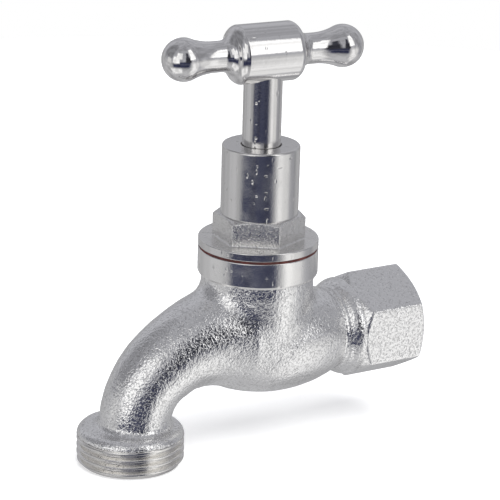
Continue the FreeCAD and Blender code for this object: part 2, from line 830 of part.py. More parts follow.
def seal_groove_radius(d):
    return d.guide_bore / 2 - d.seal_section


def seal_centres(d):
    """Heights of the two seal rings while the tap is closed."""
    first = d.bonnet_stop + d.seal_first_place
    return first, first + d.seal_spacing


def make_spindle(d):
    """The spindle: screw below, stem above with two seal grooves, hole for the jumper's stem."""
    body = new_body("spindle")
    stem = d.stem_diameter / 2
    groove = seal_groove_radius(d)
    half = d.seal_groove_width / 2
    edge = d.pin_recess
    outline = Outline(body, "spindle_outline", "XZ_Plane")
    outline.start(0, d.jumper_top + d.jumper_hole_depth)
    outline.line(d.jumper_stem_diameter / 2 + d.running_gap, d.jumper_top + d.jumper_hole_depth)
    outline.line(d.jumper_stem_diameter / 2 + d.running_gap, d.jumper_top)
    outline.line(d.screw_diameter / 2, d.jumper_top).line(d.screw_diameter / 2, d.screw_top)
    outline.line(stem, d.screw_top)
    for centre in seal_centres(d):
        outline.line(stem, centre - half).line(groove, centre - half)
        outline.line(groove, centre + half).line(stem, centre + half)
    outline.line(stem, d.stem_top - edge).line(stem - edge, d.stem_top).line(0, d.stem_top)
    sketch = outline.close()
    turned(body, "spindle_turned", sketch, (sketch, ["V_Axis"]))
    hole = disc(body, "pin_hole", "XZ_Plane", (0, d.handle_height),
                d.pin_diameter / 2 + d.pin_gap)
    padded(body, "pin_hole_cut", hole, d.stem_diameter + 1, cut=True, both=True)
    body.setExpression("Placement.Rotation.Angle", d.handle_turn.formula)
    return place_on_spindle(body, d)


def make_seals(d):
    """The two square-cut rubber rings in the spindle's grooves."""
    bore = (seal_groove_radius(d) + d.seal_gap) * 2
    rim = d.guide_bore - d.seal_gap * 2
    half = d.seal_section / 2
    lower, upper = seal_centres(d)
    return [ring_piece("seal_ring_lower", d, bore, rim, lower - half, lower + half),
            ring_piece("seal_ring_upper", d, bore, rim, upper - half, upper + half)]


def make_thrust_washer(d):
    """The slippery washer on the screw's shoulder that meets the bonnet when fully open."""
    rim = d.screw_diameter - d.thrust_washer_rim * 2
    top = d.screw_top + d.thrust_washer_thickness
    return ring_piece("thrust_washer", d, d.guide_bore, rim, d.screw_top, top)


def make_jumper(d):
    """The jumper: a stem loose in the spindle, a flange above its washer and a screwed stud."""
    body = new_body("jumper")
    stem = d.jumper_stem_diameter / 2
    flange = d.jumper_flange_diameter / 2
    stud = d.stud_diameter / 2
    stud_foot = d.seat_height - d.plate_thickness - d.nut_height - d.stud_tail
    stem_top = d.jumper_top + d.jumper_stem_length
    outline = Outline(body, "jumper_outline", "XZ_Plane")
    outline.start(0, stud_foot).line(stud, stud_foot).line(stud, d.jumper_seat)
    outline.line(flange, d.jumper_seat).line(flange, d.jumper_top)
    outline.line(stem, d.jumper_top).line(stem, stem_top - stem / 4)
    outline.line(stem * 0.75, stem_top).line(0, stem_top)
    sketch = outline.close()
    turned(body, "jumper_turned", sketch, (sketch, ["V_Axis"]))
    return place_on_spindle(body, d)


def make_jumper_washer(d):
    """The rubber washer that closes on the seat."""
    bore = d.stud_diameter + d.stud_gap * 2
    return ring_piece("jumper_washer", d, bore, d.jumper_washer_diameter, d.seat_height,
                      d.jumper_seat)


def make_washer_plate(d):
    """The small plate that keeps the washer flat, inside the seat's opening."""
    bore = d.stud_diameter + d.stud_gap * 2
    return ring_piece("washer_plate", d, bore, d.plate_diameter,
                      d.seat_height - d.plate_thickness, d.seat_height)


def make_jumper_nut(d):
    """The nut on the jumper's stud."""
    body = new_body("jumper_nut")
    foot = d.seat_height - d.plate_thickness - d.nut_height
    sketch = hexagon(body, "jumper_nut_hexagon", "XY_Plane", d.nut_flats, foot)
    padded(body, "jumper_nut_solid", sketch, d.nut_height)
    hole = disc(body, "jumper_nut_hole", "XY_Plane", (0, 0), d.stud_diameter / 2 + d.stud_gap,
                foot)
    padded(body, "jumper_nut_bore", hole, d.nut_height * 2, reverse=True, cut=True)
    return place_on_spindle(body, d)


def make_handle(d):
    """The tee handle: a barrel across the spindle, two flared necks and round ends."""
    body = new_body("handle")
    barrel = d.barrel_diameter / 2
    half = d.barrel_length / 2
    neck = d.grip_neck_diameter / 2
    end = d.grip_end_radius
    begin = d.flare_start_angle
    bends = d.flare_round_radius + d.flare_hollow_radius
    steep = (cosine(begin) * d.flare_round_radius + d.flare_hollow_radius - barrel + neck) / bends
    steep_sine = root(Size(1, "1") - steep * steep)
    turn_along = half + d.flare_round_radius * (steep_sine - sine(begin))
    turn_up = barrel - d.flare_round_radius * (cosine(begin) - steep)
    flare_end = turn_along + d.flare_hollow_radius * steep_sine
    run = d.grip_end_place - d.grip_neck_place
    sweep = (run * run + neck * neck - end * end) / ((end - neck) * 2)
    share = end / (sweep + end)
    meet_along = d.grip_end_place - run * share
    meet_up = (neck + sweep) * share
    outline = Outline(body, "handle_outline", "XZ_Plane")
    outline.start(0, 0).line(0, barrel).line(half, barrel)
    outline.arc(turn_along, turn_up, d.flare_round_radius, True)
    outline.arc(flare_end, neck, d.flare_hollow_radius, False)
    outline.line(d.grip_neck_place, neck)
    outline.arc(meet_along, meet_up, sweep, False)
    outline.arc(d.grip_end_place, end, end, True)
    outline.arc(d.grip_end_place + end, 0, end, True)
    sketch = outline.close()
    arm = turned(body, "handle_half", sketch, (sketch, ["H_Axis"]))
    mirror = body.newObject("PartDesign::Mirrored", "handle_other_half")
    planes = {item.Role: item for item in body.Origin.OriginFeatures}
    mirror.Originals = [arm]
    mirror.MirrorPlane = (planes["YZ_Plane"], [""])
    body.Tip = mirror
    document.recompute()
    cut_handle_holes(body, d)
    body.setExpression("Placement.Base.z", d.handle_height.formula)
    body.setExpression("Placement.Rotation.Angle", d.handle_turn.formula)
    return place_on_spindle(body, d)


def cut_handle_holes(body, d):
    """The blind hole for the spindle's top and the hole for the locking pin at the back."""
    bore = d.guide_bore / 2
    barrel = d.barrel_diameter / 2
    stem_hole = rectangle(body, "stem_hole", "XZ_Plane", 0, -barrel - 1, bore,
                          d.handle_bore_rise)
    turned(body, "stem_bore", stem_hole, (stem_hole, ["V_Axis"]), cut=True)
    pin_hole = disc(body, "pin_hole", "XZ_Plane", (0, 0), d.pin_diameter / 2 + d.pin_gap)
    padded(body, "pin_bore", pin_hole, barrel + 1, reverse=True, cut=True)


def make_handle_pin(d):
    """The plain pin that locks the handle to the spindle, driven in from the back."""
    body = new_body("handle_pin")
    back = d.barrel_diameter / 2 - d.pin_recess
    pin = disc(body, "pin_section", "XZ_Plane", (0, 0), d.pin_diameter / 2, back - d.pin_length)
    padded(body, "pin_solid", pin, d.pin_length)
    body.setExpression("Placement.Base.z", d.handle_height.formula)
    body.setExpression("Placement.Rotation.Angle", d.handle_turn.formula)
    return place_on_spindle(body, d)


def make_pieces(d):
    pieces = [make_casting(d), make_body_washer(d), make_bonnet(d), make_spindle(d)]
    pieces += make_seals(d)
    pieces += [make_thrust_washer(d), make_jumper(d), make_jumper_washer(d)]
    pieces += [make_washer_plate(d), make_jumper_nut(d), make_handle(d), make_handle_pin(d)]
    return pieces


def check(pieces):
    """Stop before anything is written if an object failed or a piece isn't one sound solid."""
    for item in document.Objects:
        if "Invalid" in item.State or "Error" in item.State:
            raise RuntimeError(f"{item.Label} is {item.State}")
    for piece in pieces:
        shape = piece.Shape
        if shape.isNull() or not shape.isValid() or len(shape.Solids) != 1:
            raise RuntimeError(f"{piece.Label} is not one sound solid")


def main():
    d = Dimensions(fill_sheet())
    pieces = make_pieces(d)
    document.recompute()
    check(pieces)
    os.makedirs("parts", exist_ok=True)
    for piece in pieces:
        piece.Shape.exportStep(f"parts/{piece.Label}.step")
        print(f"{piece.Label}: {piece.Shape.Volume:.1f} cubic millimetres")


main()
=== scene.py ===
"""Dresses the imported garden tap: fine surfaces for its visible pieces, plated finishes and a studio.

Shapes are worked out in millimetres with numpy and written to meshes in metres, in the row's own frame: the
origin is the centre of the wall socket's mouth, +X runs to the spout and +Z up the spindle.
"""

import logging
import math
from dataclasses import dataclass, field
from enum import Enum
from typing import Callable, ClassVar, Sequence

import bmesh
import bpy
import numpy as np
from mathutils import Matrix


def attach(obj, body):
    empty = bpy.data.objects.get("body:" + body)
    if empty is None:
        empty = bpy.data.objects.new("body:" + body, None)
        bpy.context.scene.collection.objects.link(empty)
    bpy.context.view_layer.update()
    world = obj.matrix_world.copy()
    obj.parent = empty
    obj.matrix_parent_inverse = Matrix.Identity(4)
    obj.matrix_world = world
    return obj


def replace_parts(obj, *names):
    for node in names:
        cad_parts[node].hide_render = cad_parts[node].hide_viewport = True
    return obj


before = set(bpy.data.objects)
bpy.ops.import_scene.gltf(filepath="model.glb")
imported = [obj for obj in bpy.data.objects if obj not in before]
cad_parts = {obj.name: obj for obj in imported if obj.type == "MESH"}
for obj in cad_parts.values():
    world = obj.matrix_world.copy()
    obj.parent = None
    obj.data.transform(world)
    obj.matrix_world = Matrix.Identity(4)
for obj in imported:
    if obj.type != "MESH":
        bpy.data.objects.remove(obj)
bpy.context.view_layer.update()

log = logging.getLogger("garden_tap")

MM = 0.001
SPINDLE_X = 43.0
OUTLET_X = 78.0
HANDLE_Z = 73.98
HANDLE_TURN = math.radians(-5.0)
BONNET_TURN = math.radians(-5.0)

Array = np.ndarray
Colour = tuple[float, float, float]
Socket = bpy.types.NodeSocket


class Skin(Enum):
    """The fine relief of a surface; the value is the name of the node group that makes it."""

    CAST = "cast_grain"
    CUT = "fine_dents"


# Surfaces


@dataclass(frozen=True)
class Thread:
    """A screw thread that a turned surface carries.

    The root's flat takes ROOT of half a pitch and the crest's flat takes CREST of it. BEND is how much of the
    flank is curved.

    Attributes:
        crest: radius of the surface that carries the thread, in mm.
        depth: how far the thread reaches from that surface, in mm; negative for a thread that opens outwards.
        pitch: rise in one turn, in mm.
        low: lowest place along the axis, in mm.
        high: highest place along the axis, in mm.
        fade: length over which the thread starts and ends, in mm.
        start: a place along the axis where a root crosses the angle 0, in mm.
    """

    crest: float
    depth: float
    pitch: float
    low: float
    high: float
    fade: float
    start: float = 0.0

    ROOT: ClassVar[float] = 0.13
    CREST: ClassVar[float] = 0.20
    BEND: ClassVar[float] = 0.4

    def carve(self, radius: Array, along: Array, turn: Array) -> Array:
        """Take the thread out of a surface.

        The depth taken is depth * (1 - wave), and wave rises smoothly from 0 in the root to 1 on the crest as
        the place along the axis, less the pitch's share of the turn, runs through one pitch.

        Args:
            radius: radius at each grid point.
            along: place along the axis at each grid point.
            turn: angle about the axis at each grid point, in radians.

        Returns:
            The radius with the thread taken out.
        """
        phase = ((along - self.start) / self.pitch - turn / (2 * math.pi)) % 1.0
        saw = 1 - np.abs(2 * phase - 1)
        wave = np.clip((saw - self.ROOT) / (1 - self.ROOT - self.CREST), 0, 1)
        wave = (1 - self.BEND) * wave + self.BEND * wave * wave * (3 - 2 * wave)
        ends = np.clip((along - self.low) / self.fade, 0, 1) * np.clip((self.high - along) / self.fade, 0, 1)
        carried = np.abs(radius - self.crest) < 1e-6
        return np.where(carried, radius - self.depth * (1 - wave) * ends, radius)


def rounded(corners: Sequence[tuple[float, float, float]], closed: bool = False, steps: int = 5) -> Array:
    """Turn a list of corners into a line with round corners.

    Each corner is replaced by the arc of its rounding that touches both sides, and a close point on each side
    keeps the shading of the flat beyond it straight.

    Args:
        corners: radius, place along the axis and rounding of each corner, in mm.
        closed: whether the last corner runs on to the first.
        steps: parts that each arc is divided into.

    Returns:
        Points of the line, one row each.
    """
    points = np.array([corner[:2] for corner in corners], float)
    count = len(points)
    out = []
    for index in range(count):
        here = points[index]
        size = corners[index][2]
        if size <= 0 or (not closed and index in (0, count - 1)):
            out.append(here[None])
            continue
        back = points[index - 1] - here
        ahead = points[(index + 1) % count] - here
        back_length, ahead_length = np.linalg.norm(back), np.linalg.norm(ahead)
        back, ahead = back / back_length, ahead / ahead_length
        half = 0.5 * math.acos(float(np.clip(back @ ahead, -1, 1)))
        reach = min(size / math.tan(half), 0.45 * back_length, 0.45 * ahead_length)
        size = reach * math.tan(half)
        middle = here + (back + ahead) / np.linalg.norm(back + ahead) * size / math.sin(half)
        first, last = here + back * reach, here + ahead * reach
        start = math.atan2(*(first - middle)[::-1])
        sweep = (math.atan2(*(last - middle)[::-1]) - start + math.pi) % (2 * math.pi) - math.pi
        angle = start + sweep * np.linspace(0, 1, steps + 1)
        arc = middle + size * np.stack([np.cos(angle), np.sin(angle)], -1)
        margin = min(0.03, 0.05 * min(back_length, ahead_length))
        out += [(first + back * margin)[None], arc, (last + ahead * margin)[None]]
    return np.concatenate(out)


def subdivided(line: Array, low: float, high: float, step: float) -> Array:
    """Divide the straight runs of a line that lie between two places along the axis.

    Args:
        line: points as radius and place along the axis.
        low: lowest place, in mm.
        high: highest place, in mm.
        step: longest run left, in mm.

    Returns:
        The line with the added points.
    """
    out = [line[:1]]
    for first, last in zip(line[:-1], line[1:]):
        inside = min(first[1], last[1]) >= low - 1e-6 and max(first[1], last[1]) <= high + 1e-6
        parts = max(1, math.ceil(abs(last[1] - first[1]) / step)) if inside else 1
        share = np.arange(1, parts + 1)[:, None] / parts
        out.append(first + (last - first) * share)
    return np.concatenate(out)


def even_turn(count: int) -> Array:
    """Angles of a full turn, evenly spaced, in radians."""
    return np.arange(count) * (2 * math.pi / count)


def six_sided_turn(flat_parts: int = 12, corner_parts: int = 10, corner_width: float = 4.0) -> Array:
    """Angles of a full turn that crowd together at the corners of a hexagon.

    Its flats face 0, 60, 120 degrees and so on.

    Args:
        flat_parts: parts across each flat.
        corner_parts: parts round each corner.
        corner_width: angle from a corner to where its crowd ends, in degrees.

    Returns:
        Angles in radians.
    """
    edge = 30 - corner_width
    flat = np.linspace(-edge, edge, flat_parts, endpoint=False)
    corner = np.linspace(edge, 30 + corner_width, corner_parts, endpoint=False)
    sector = np.concatenate([flat, corner])
    return np.radians((sector[None] + 60 * np.arange(6)[:, None]).ravel())


def hexagon_radius(turn: Array, flats: float, sharpness: float) -> Array:
    """Radius of a hexagon with softened corners.

    It is half the width across flats divided by the power mean of the six cosines between the direction and
    the flats' normals; a higher power gives a sharper corner.

    Args:
        turn: directions, in radians; the flats face 0, 60, 120 degrees and so on.
        flats: width across flats, in mm.
        sharpness: the power.

    Returns:
        Radius in each direction, in mm.
    """
    normals = np.radians(60.0 * np.arange(6))
    cosines = np.clip(np.cos(turn[..., None] - normals), 0, None)
    return flats / 2 / (cosines**sharpness).sum(-1) ** (1 / sharpness)


def soft_least(first: Array, second: Array, width: float) -> Array:
    """The lesser of two values, with the corner between them rounded over a width."""
    gap = np.clip(1 - np.abs(first - second) / width, 0, None)
    return np.minimum(first, second) - gap * gap * width / 4


@dataclass
class Shell:
    """A mesh in the making, from grids of points in mm."""

    name: str
    points: list[Array] = field(default_factory=list)
    faces: list[Array] = field(default_factory=list)
    count: int = 0

    def grid(self, points: Array, wrap_rows: bool = False, wrap_columns: bool = True) -> "Shell":
        """Add a grid of points whose neighbours are joined by four-sided faces.

        Args:
            points: array of rows, columns and three coordinates.
            wrap_rows: whether the last row is joined to the first.
            wrap_columns: whether the last column is joined to the first.

        Returns:
            This shell.
        """
        rows, columns = points.shape[:2]
        row = np.arange(rows if wrap_rows else rows - 1)[:, None]
        column = np.arange(columns if wrap_columns else columns - 1)[None]
        below, beside = (row + 1) % rows, (column + 1) % columns
        quads = np.stack(np.broadcast_arrays(row * columns + column, row * columns + beside,
                                             below * columns + beside, below * columns + column), -1)
        return self.loose(points.reshape(-1, 3), quads.reshape(-1, 4))

    def loose(self, points: Array, faces: Array) -> "Shell":
        """Add points and the faces that number them."""
        self.points.append(points)
        self.faces.append(faces + self.count)
        self.count += len(points)
        return self

    def make(self) -> bpy.types.Object:
        """Write the mesh in metres, close its poles and seams, and turn its faces outwards.

        Returns:
            The object, at the origin.
        """
        points = np.concatenate(self.points) * MM
        faces = np.concatenate(self.faces)
        mesh = bpy.data.meshes.new(self.name)
        mesh.vertices.add(len(points))
        mesh.vertices.foreach_set("co", points.astype(np.float32).ravel())
        mesh.loops.add(faces.size)
        mesh.loops.foreach_set("vertex_index", faces.astype(np.int32).ravel())
        mesh.polygons.add(len(faces))
        mesh.polygons.foreach_set("loop_start", np.arange(0, faces.size, 4, dtype=np.int32))
        mesh.update(calc_edges=True)
        work = bmesh.new()
        work.from_mesh(mesh)
        bmesh.ops.remove_doubles(work, verts=work.verts, dist=2e-7)
        bmesh.ops.dissolve_degenerate(work, dist=1e-8, edges=work.edges)
        bmesh.ops.recalc_face_normals(work, faces=work.faces)
        for face in work.faces:
            face.smooth = True
        work.to_mesh(mesh)
        work.free()
        made = bpy.data.objects.new(self.name, mesh)
        bpy.context.scene.collection.objects.link(made)
        return made


def upright(centre_x: float) -> Callable[[Array, Array, Array], Array]:
    """A placing for surfaces turned about an upright axis.

    Args:
        centre_x: the axis's place along +X, in mm.

    Returns:
        A function of radius, place along the axis and angle that gives the points.
    """

    def place(radius: Array, along: Array, turn: Array) -> Array:
        return np.stack([centre_x + radius * np.cos(turn), radius * np.sin(turn), along], -1)

    return place


def level(radius: Array, along: Array, turn: Array) -> Array:
    """Points of a surface turned about the socket's axis, with angles from +Y towards +Z."""
    return np.stack([along, radius * np.cos(turn), radius * np.sin(turn)], -1)


def across_spindle(radius: Array, along: Array, turn: Array) -> Array:
    """Points of a surface turned about the tee handle's axis, which crosses the spindle at a slight turn."""
    aside = radius * np.sin(turn)
    return np.stack([SPINDLE_X + along * math.cos(HANDLE_TURN) - aside * math.sin(HANDLE_TURN),
                     along * math.sin(HANDLE_TURN) + aside * math.cos(HANDLE_TURN),
                     HANDLE_Z + radius * np.cos(turn)], -1)


def turned_grid(line: Array, turn: Array, place: Callable[[Array, Array, Array], Array],
                thread: Thread | None = None) -> Array:
    """Carry a line round an axis.

    Args:
        line: points as radius and place along the axis, in mm.
        turn: angles of the columns, in radians.
        place: gives the points from radius, place along the axis and angle.
        thread: a screw thread to take out of the surface.

    Returns:
        Grid of points, one row for each point of the line.
    """
    radius, along, angle = np.broadcast_arrays(line[:, :1], line[:, 1:], turn[None])
    if thread is not None:
        radius = thread.carve(radius, along, angle)
    return place(radius, along, angle)


# Cast body


Piece = tuple[Array, Array]


def blend(first: Piece, second: Piece, size: float) -> Piece:
    """Join two solids with a hollow of a given radius between them.

    A solid is a pair: distance outside its surface, and the surface's outward direction. Near both surfaces
    the distance is size - hypot(size - a, size - b), a circular fillet. Its size falls off with the root of 1
    less the cosine between the surfaces, so that they don't swell where they run the same way, yet meet there
    on a wide bend.

    Args:
        first: the first solid.
        second: the second solid.
        size: the fillet's radius, in mm.

    Returns:
        The joined solid.
    """
    (a, way_a), (b, way_b) = first, second
    reach = size * np.sqrt(np.clip(1 - (way_a * way_b).sum(-1), 0, 1)) + 1e-6
    u, v = np.clip(reach - a, 0, None), np.clip(reach - b, 0, None)
    joined = np.maximum(reach, np.minimum(a, b)) - np.hypot(u, v)
    both = (u > 0) & (v > 0)
    weight_a = np.where(both, u, (a < b).astype(float))
    weight_b = np.where(both, v, (a >= b).astype(float))
    way = way_a * weight_a[..., None] + way_b * weight_b[..., None]
    return joined, way / np.maximum(np.linalg.norm(way, axis=-1, keepdims=True), 1e-9)


def surface_net(solid: Callable[[Array], Array], low: Sequence[float], high: Sequence[float],
                step: float) -> tuple[Array, Array]:
    """Mesh the surface where a function of place is nothing.

    Space is cut in cubes. Each cube that the surface passes gets one point, the mean of where the surface
    crosses its edges, and each crossed edge gets the face that joins its four cubes. The points then slide
    along the function's slope on to the surface.

    Args:
        solid: distance outside the solid at each point.
        low: lowest corner of the space, in mm.
        high: highest corner, in mm.
        step: the cubes' width, in mm.

    Returns:
        Points and four-sided faces.
    """
    axes = [np.arange(a, b + step, step) for a, b in zip(low, high)]
    places = np.stack(np.meshgrid(*axes, indexing="ij"), -1)
    value = solid(places.reshape(-1, 3)).reshape(places.shape[:3]).astype(np.float32)
    del places
    corners = np.array([(i, j, k) for i in (0, 1) for j in (0, 1) for k in (0, 1)])
    cubes = [slice(0, -1), slice(1, None)]
    inside = sum((value[cubes[i], cubes[j], cubes[k]] < 0).astype(np.int8) for i, j, k in corners)
    active = np.argwhere((inside > 0) & (inside < 8))
    number = np.full(inside.shape, -1, np.int64)
    number[tuple(active.T)] = np.arange(len(active))
    total, hits = np.zeros((len(active), 3)), np.zeros((len(active), 1))
    for start in corners:
        for axis in range(3):
            if start[axis]:
                continue
            end = start + np.eye(3, dtype=int)[axis]
            a = value[tuple((active + start).T)]
            b = value[tuple((active + end).T)]
            crossed = ((a < 0) != (b < 0))[:, None]
            share = (a / np.where(a == b, 1, a - b))[:, None]
            total += np.where(crossed, start + share * (end - start), 0)
            hits += crossed
    points = np.array(low) + step * (active + total / hits)
    faces = []
    for axis in range(3):
        one, two = (axis + 1) % 3, (axis + 2) % 3
        ahead = np.moveaxis(value, axis, 0)
        crossing = np.moveaxis((ahead[:-1] < 0) != (ahead[1:] < 0), 0, axis)
        edges = np.argwhere(crossing)
        edges = edges[(edges[:, one] > 0) & (edges[:, two] > 0)
                      & (edges[:, one] < number.shape[one]) & (edges[:, two] < number.shape[two])]
        unit_one, unit_two = np.eye(3, dtype=int)[one], np.eye(3, dtype=int)[two]
        around = [edges - unit_one - unit_two, edges - unit_two, edges, edges - unit_one]
        quad = np.stack([number[tuple(cell.T)] for cell in around], -1)
        rising = value[tuple(edges.T)] < 0
        faces.append(np.where(rising[:, None], quad, quad[:, ::-1]))
    for _ in range(3):
        points = points - slope_step(solid, points, 0.45 * step)
    return points, np.concatenate(faces)


def slope_step(solid: Callable[[Array], Array], points: Array, limit: float) -> Array:
    """How far each point must move along the slope of a function to reach where the function is nothing.

    Args:
        solid: the function.
        points: the points.
        limit: longest move.

    Returns:
        The moves.
    """
    reach = 0.02
    slope = np.stack([(solid(points + reach * way) - solid(points - reach * way)) / (2 * reach)
                      for way in np.eye(3)], -1)
    move = solid(points)[:, None] * slope / np.maximum((slope**2).sum(-1, keepdims=True), 0.05)
    length = np.linalg.norm(move, axis=-1, keepdims=True)
    return move * np.minimum(1, limit / np.maximum(length, 1e-9))


@dataclass(frozen=True)
class Waterways:
    """The hollows of the cast body, in mm.

    The passage runs from the wall socket to the well under the seat. Water rises through the well into the
    chamber round the seat, which widens at the top for the bonnet's screw, and leaves through the spout.
    """

    passage_radius: float = 5.75
    passage_start: tuple[float, float, float] = (13.0, 0.0, -0.5)
    passage_end: tuple[float, float, float] = (39.8, 0.0, -4.5)
    well_radius: float = 6.35
    well_foot: float = -9.5
    well_top: float = 6.8
    seat_radius: float = 8.75
    seat_top: float = 6.3
    chamber_radius: float = 10.75
    chamber_foot: float = 4.8
    screw_radius: float = 12.35
    screw_foot: float = 17.65
    spout_radius: float = 6.0
    spout_start: float = 51.45
    bore_radius: float = 8.0
    bore_top: float = -17.3

    def distance(self, points: Array, from_line: Array) -> Array:
        """Distance outside the hollows.

        Args:
            points: places, in mm.
            from_line: distance of each from the spout's centre line.

        Returns:
            The distances, negative in the water.
        """
        x, y, z = points.T
        ring = np.hypot(x - SPINDLE_X, y)
        seat = np.maximum(ring - self.seat_radius, z - self.seat_top)
        chamber = np.maximum(np.maximum(ring - self.chamber_radius, self.chamber_foot - z), -seat)
        screw = np.maximum(ring - self.screw_radius, self.screw_foot - z)
        well = np.maximum(ring - self.well_radius, np.maximum(self.well_foot - z, z - self.well_top))
        start, end = np.array(self.passage_start), np.array(self.passage_end)
        length = np.linalg.norm(end - start)
        run = (end - start) / length
        along = (points - start) @ run
        beside = np.linalg.norm(points - start - along[:, None] * run, axis=-1)
        passage = np.maximum(beside - self.passage_radius, along - length)
        spout = np.maximum(from_line - self.spout_radius, self.spout_start - x)
        bore = np.maximum(np.hypot(x - OUTLET_X, y) - self.bore_radius, z - self.bore_top)
        return np.minimum.reduce((chamber, screw, well, passage, spout, bore))


@dataclass
class CastBody:
    """The cast body, hollow as the real one is: socket, belly, neck, spout and outlet. Sizes in mm."""

    body: str = "tap_body"
    belly_radius: float = 13.35
    belly_place: float = 37.7
    belly_bend: float = 40.0
    belly_start: float = 22.0
    belly_end: float = 58.7
    bead_centre: tuple[float, float] = (18.055, 7.975)
    bead_radius: float = 4.5
    neck_foot_radius: float = 12.3
    neck_top_radius: float = 14.32
    neck_height: float = 18.4
    bead_fillet: float = 1.0
    spout_fillet: float = 6.0
    neck_fillet: float = 3.0
    shoulder_fillet: float = 1.6
    core_radius: float = 11.0
    core_span: tuple[float, float] = (15.0, 22.0)
    root_radius: float = 11.7
    root_span: tuple[float, float] = (-19.5, -17.0)
    spout_start: float = 49.45
    spout_height: float = 4.5
    spout_bends: tuple[float, float] = (34.0, 16.7)
    spout_change: float = math.radians(38.0)
    spout_radii: tuple[float, float] = (12.6, 8.85)
    outlet_radius: float = 13.2205
    outlet_foot: float = -25.5
    outlet_thread_top: float = -18.3
    shoulder_rounding: float = 2.2
    pitch: float = 1.814
    socket_flats: float = 24.6
    socket_length: float = 17.6
    socket_mouth: float = 11.6
    mouth_chamfer: float = 1.4
    socket_back: float = 12.45
    back_chamfer: float = 1.6
    socket_thread: float = 9.3155
    collar_radius: float = 14.915
    collar_top: float = 25.0
    waterways: Waterways = Waterways()
    net_step: float = 0.45

    def spout_line(self, points: Array) -> tuple[Array, Array, Array]:
        """Measure points against the spout's centre line.

        The line runs level, turns down on a wide arc and then on a tighter one, and ends straight down.

        Args:
            points: places, in mm.

        Returns:
            Turn of the nearest place on the line, distance from the line, and direction away from it.
        """
        x, y, z = points.T
        wide, tight = self.spout_bends
        change = self.spout_change
        first = np.array([self.spout_start, self.spout_height - wide])
        second = first + (wide - tight) * np.array([math.sin(change), math.cos(change)])
        turn_first = np.arctan2(x - first[0], z - first[1])
        turn_second = np.clip(np.arctan2(x - second[0], z - second[1]), change, math.pi / 2)
        on_first = turn_first < change
        turn = np.where(on_first, np.clip(turn_first, 0, None), turn_second)
        turn = np.where(x < self.spout_start, 0, np.where((z < second[1]) & ~on_first, math.pi / 2, turn))
        centre = np.where(on_first[:, None] | (x < self.spout_start)[:, None], first, second)
        bend = np.where(on_first | (x < self.spout_start), wide, tight)
        foot_x = centre[:, 0] + bend * np.sin(turn)
        foot_z = centre[:, 1] + bend * np.cos(turn)
        foot_x = np.where(x < self.spout_start, x, foot_x)
        foot_z = np.where((z < second[1]) & (turn >= math.pi / 2), z, foot_z)
        away = np.stack([x - foot_x, y, z - foot_z], -1)
        distance = np.linalg.norm(away, axis=-1)
        return turn, distance, away / np.maximum(distance, 1e-9)[:, None]

    def belly(self, points: Array) -> Piece:
        """The barrel about the socket's axis: its radius is an arc of circle along the axis."""
        x, y, z = points.T
        run = np.clip(x, self.belly_start - 4, self.belly_end + 2) - self.belly_place
        rise = np.sqrt(self.belly_bend**2 - run**2)
        ring = np.hypot(y, z)
        lean = rise / self.belly_bend
        distance = (ring - self.belly_radius + self.belly_bend - rise) * lean
        safe = np.maximum(ring, 1e-9)
        way = np.stack([run / self.belly_bend, y / safe * lean, z / safe * lean], -1)
        return np.maximum(distance, np.maximum(self.belly_start - x, x - self.belly_end)), way

    def bead(self, points: Array) -> Piece:
        """The round bead between hexagon and belly, an arc of circle carried round the socket's axis."""
        x, y, z = points.T
        ring = np.hypot(y, z)
        along, out = x - self.bead_centre[0], np.clip(ring - self.bead_centre[1], 0, None)
        distance = np.hypot(along, out)
        safe, ring = np.maximum(distance, 1e-9), np.maximum(ring, 1e-9)
        way = np.stack([along / safe, y / ring * out / safe, z / ring * out / safe], -1)
        return np.maximum(distance - self.bead_radius, self.socket_length - 0.4 - x), way

    def neck(self, points: Array) -> Piece:
        """The upright cone under the collar."""
        x, y, z = points[:, 0] - SPINDLE_X, points[:, 1], points[:, 2]
        ring = np.maximum(np.hypot(x, y), 1e-9)
        lean = (self.neck_top_radius - self.neck_foot_radius) / self.neck_height
        radius = self.neck_foot_radius + lean * np.clip(z, 0, self.neck_height - 3.0)
        way = np.stack([x / ring, y / ring, np.full_like(x, -lean)], -1)
        return np.maximum(ring - radius, np.maximum(-z, z - self.neck_height - 2.6)), way

    def spout(self, points: Array) -> Piece:
        """The tube round the spout's line; its radius falls off with the cube of the turn that is left."""
        turn, distance, way = self.spout_line(points)
        wide, narrow = self.spout_radii
        radius = narrow + (wide - narrow) * (1 - turn / (math.pi / 2)) ** 3
        ends = np.maximum(SPINDLE_X - 1 - points[:, 0], self.outlet_thread_top - 1.0 - points[:, 2])
        return np.maximum(distance - radius, ends), way

    def shoulder(self, points: Array) -> Piece:
        """The round-edged disc above the outlet's thread, and the core that ties it to the ring."""
        x, y, z = points[:, 0] - OUTLET_X, points[:, 1], points[:, 2]
        ring = np.maximum(np.hypot(x, y), 1e-9)
        size = self.shoulder_rounding
        out = ring - (self.outlet_radius - size)
        up = z - self.outlet_thread_top
        outside = np.hypot(np.clip(out, 0, None), np.clip(up, 0, None))
        distance = outside + np.minimum(np.maximum(out, up), 0) - size
        share_out, share_up = np.clip(out, 1e-6, None), np.clip(up, 1e-6, None)
        length = np.hypot(share_out, share_up)
        way = np.stack([x / ring * share_out / length, y / ring * share_out / length, share_up / length], -1)
        foot, top = self.root_span
        core = np.maximum(ring - self.root_radius, np.maximum(foot - z, z - top))
        return np.minimum(np.maximum(distance, self.outlet_thread_top - z), core), way

    def unevenness(self, points: Array) -> Array:
        """How far the slight waves of a casting lie inside its true shape: three crossed sine waves."""
        x, y, z = points.T
        waves = np.sin(0.83 * x + 1.9 * y) + np.sin(1.31 * z - 0.9 * x + 1.0) + np.sin(1.07 * y + 1.4 * z)
        return 0.012 * (3 + waves)

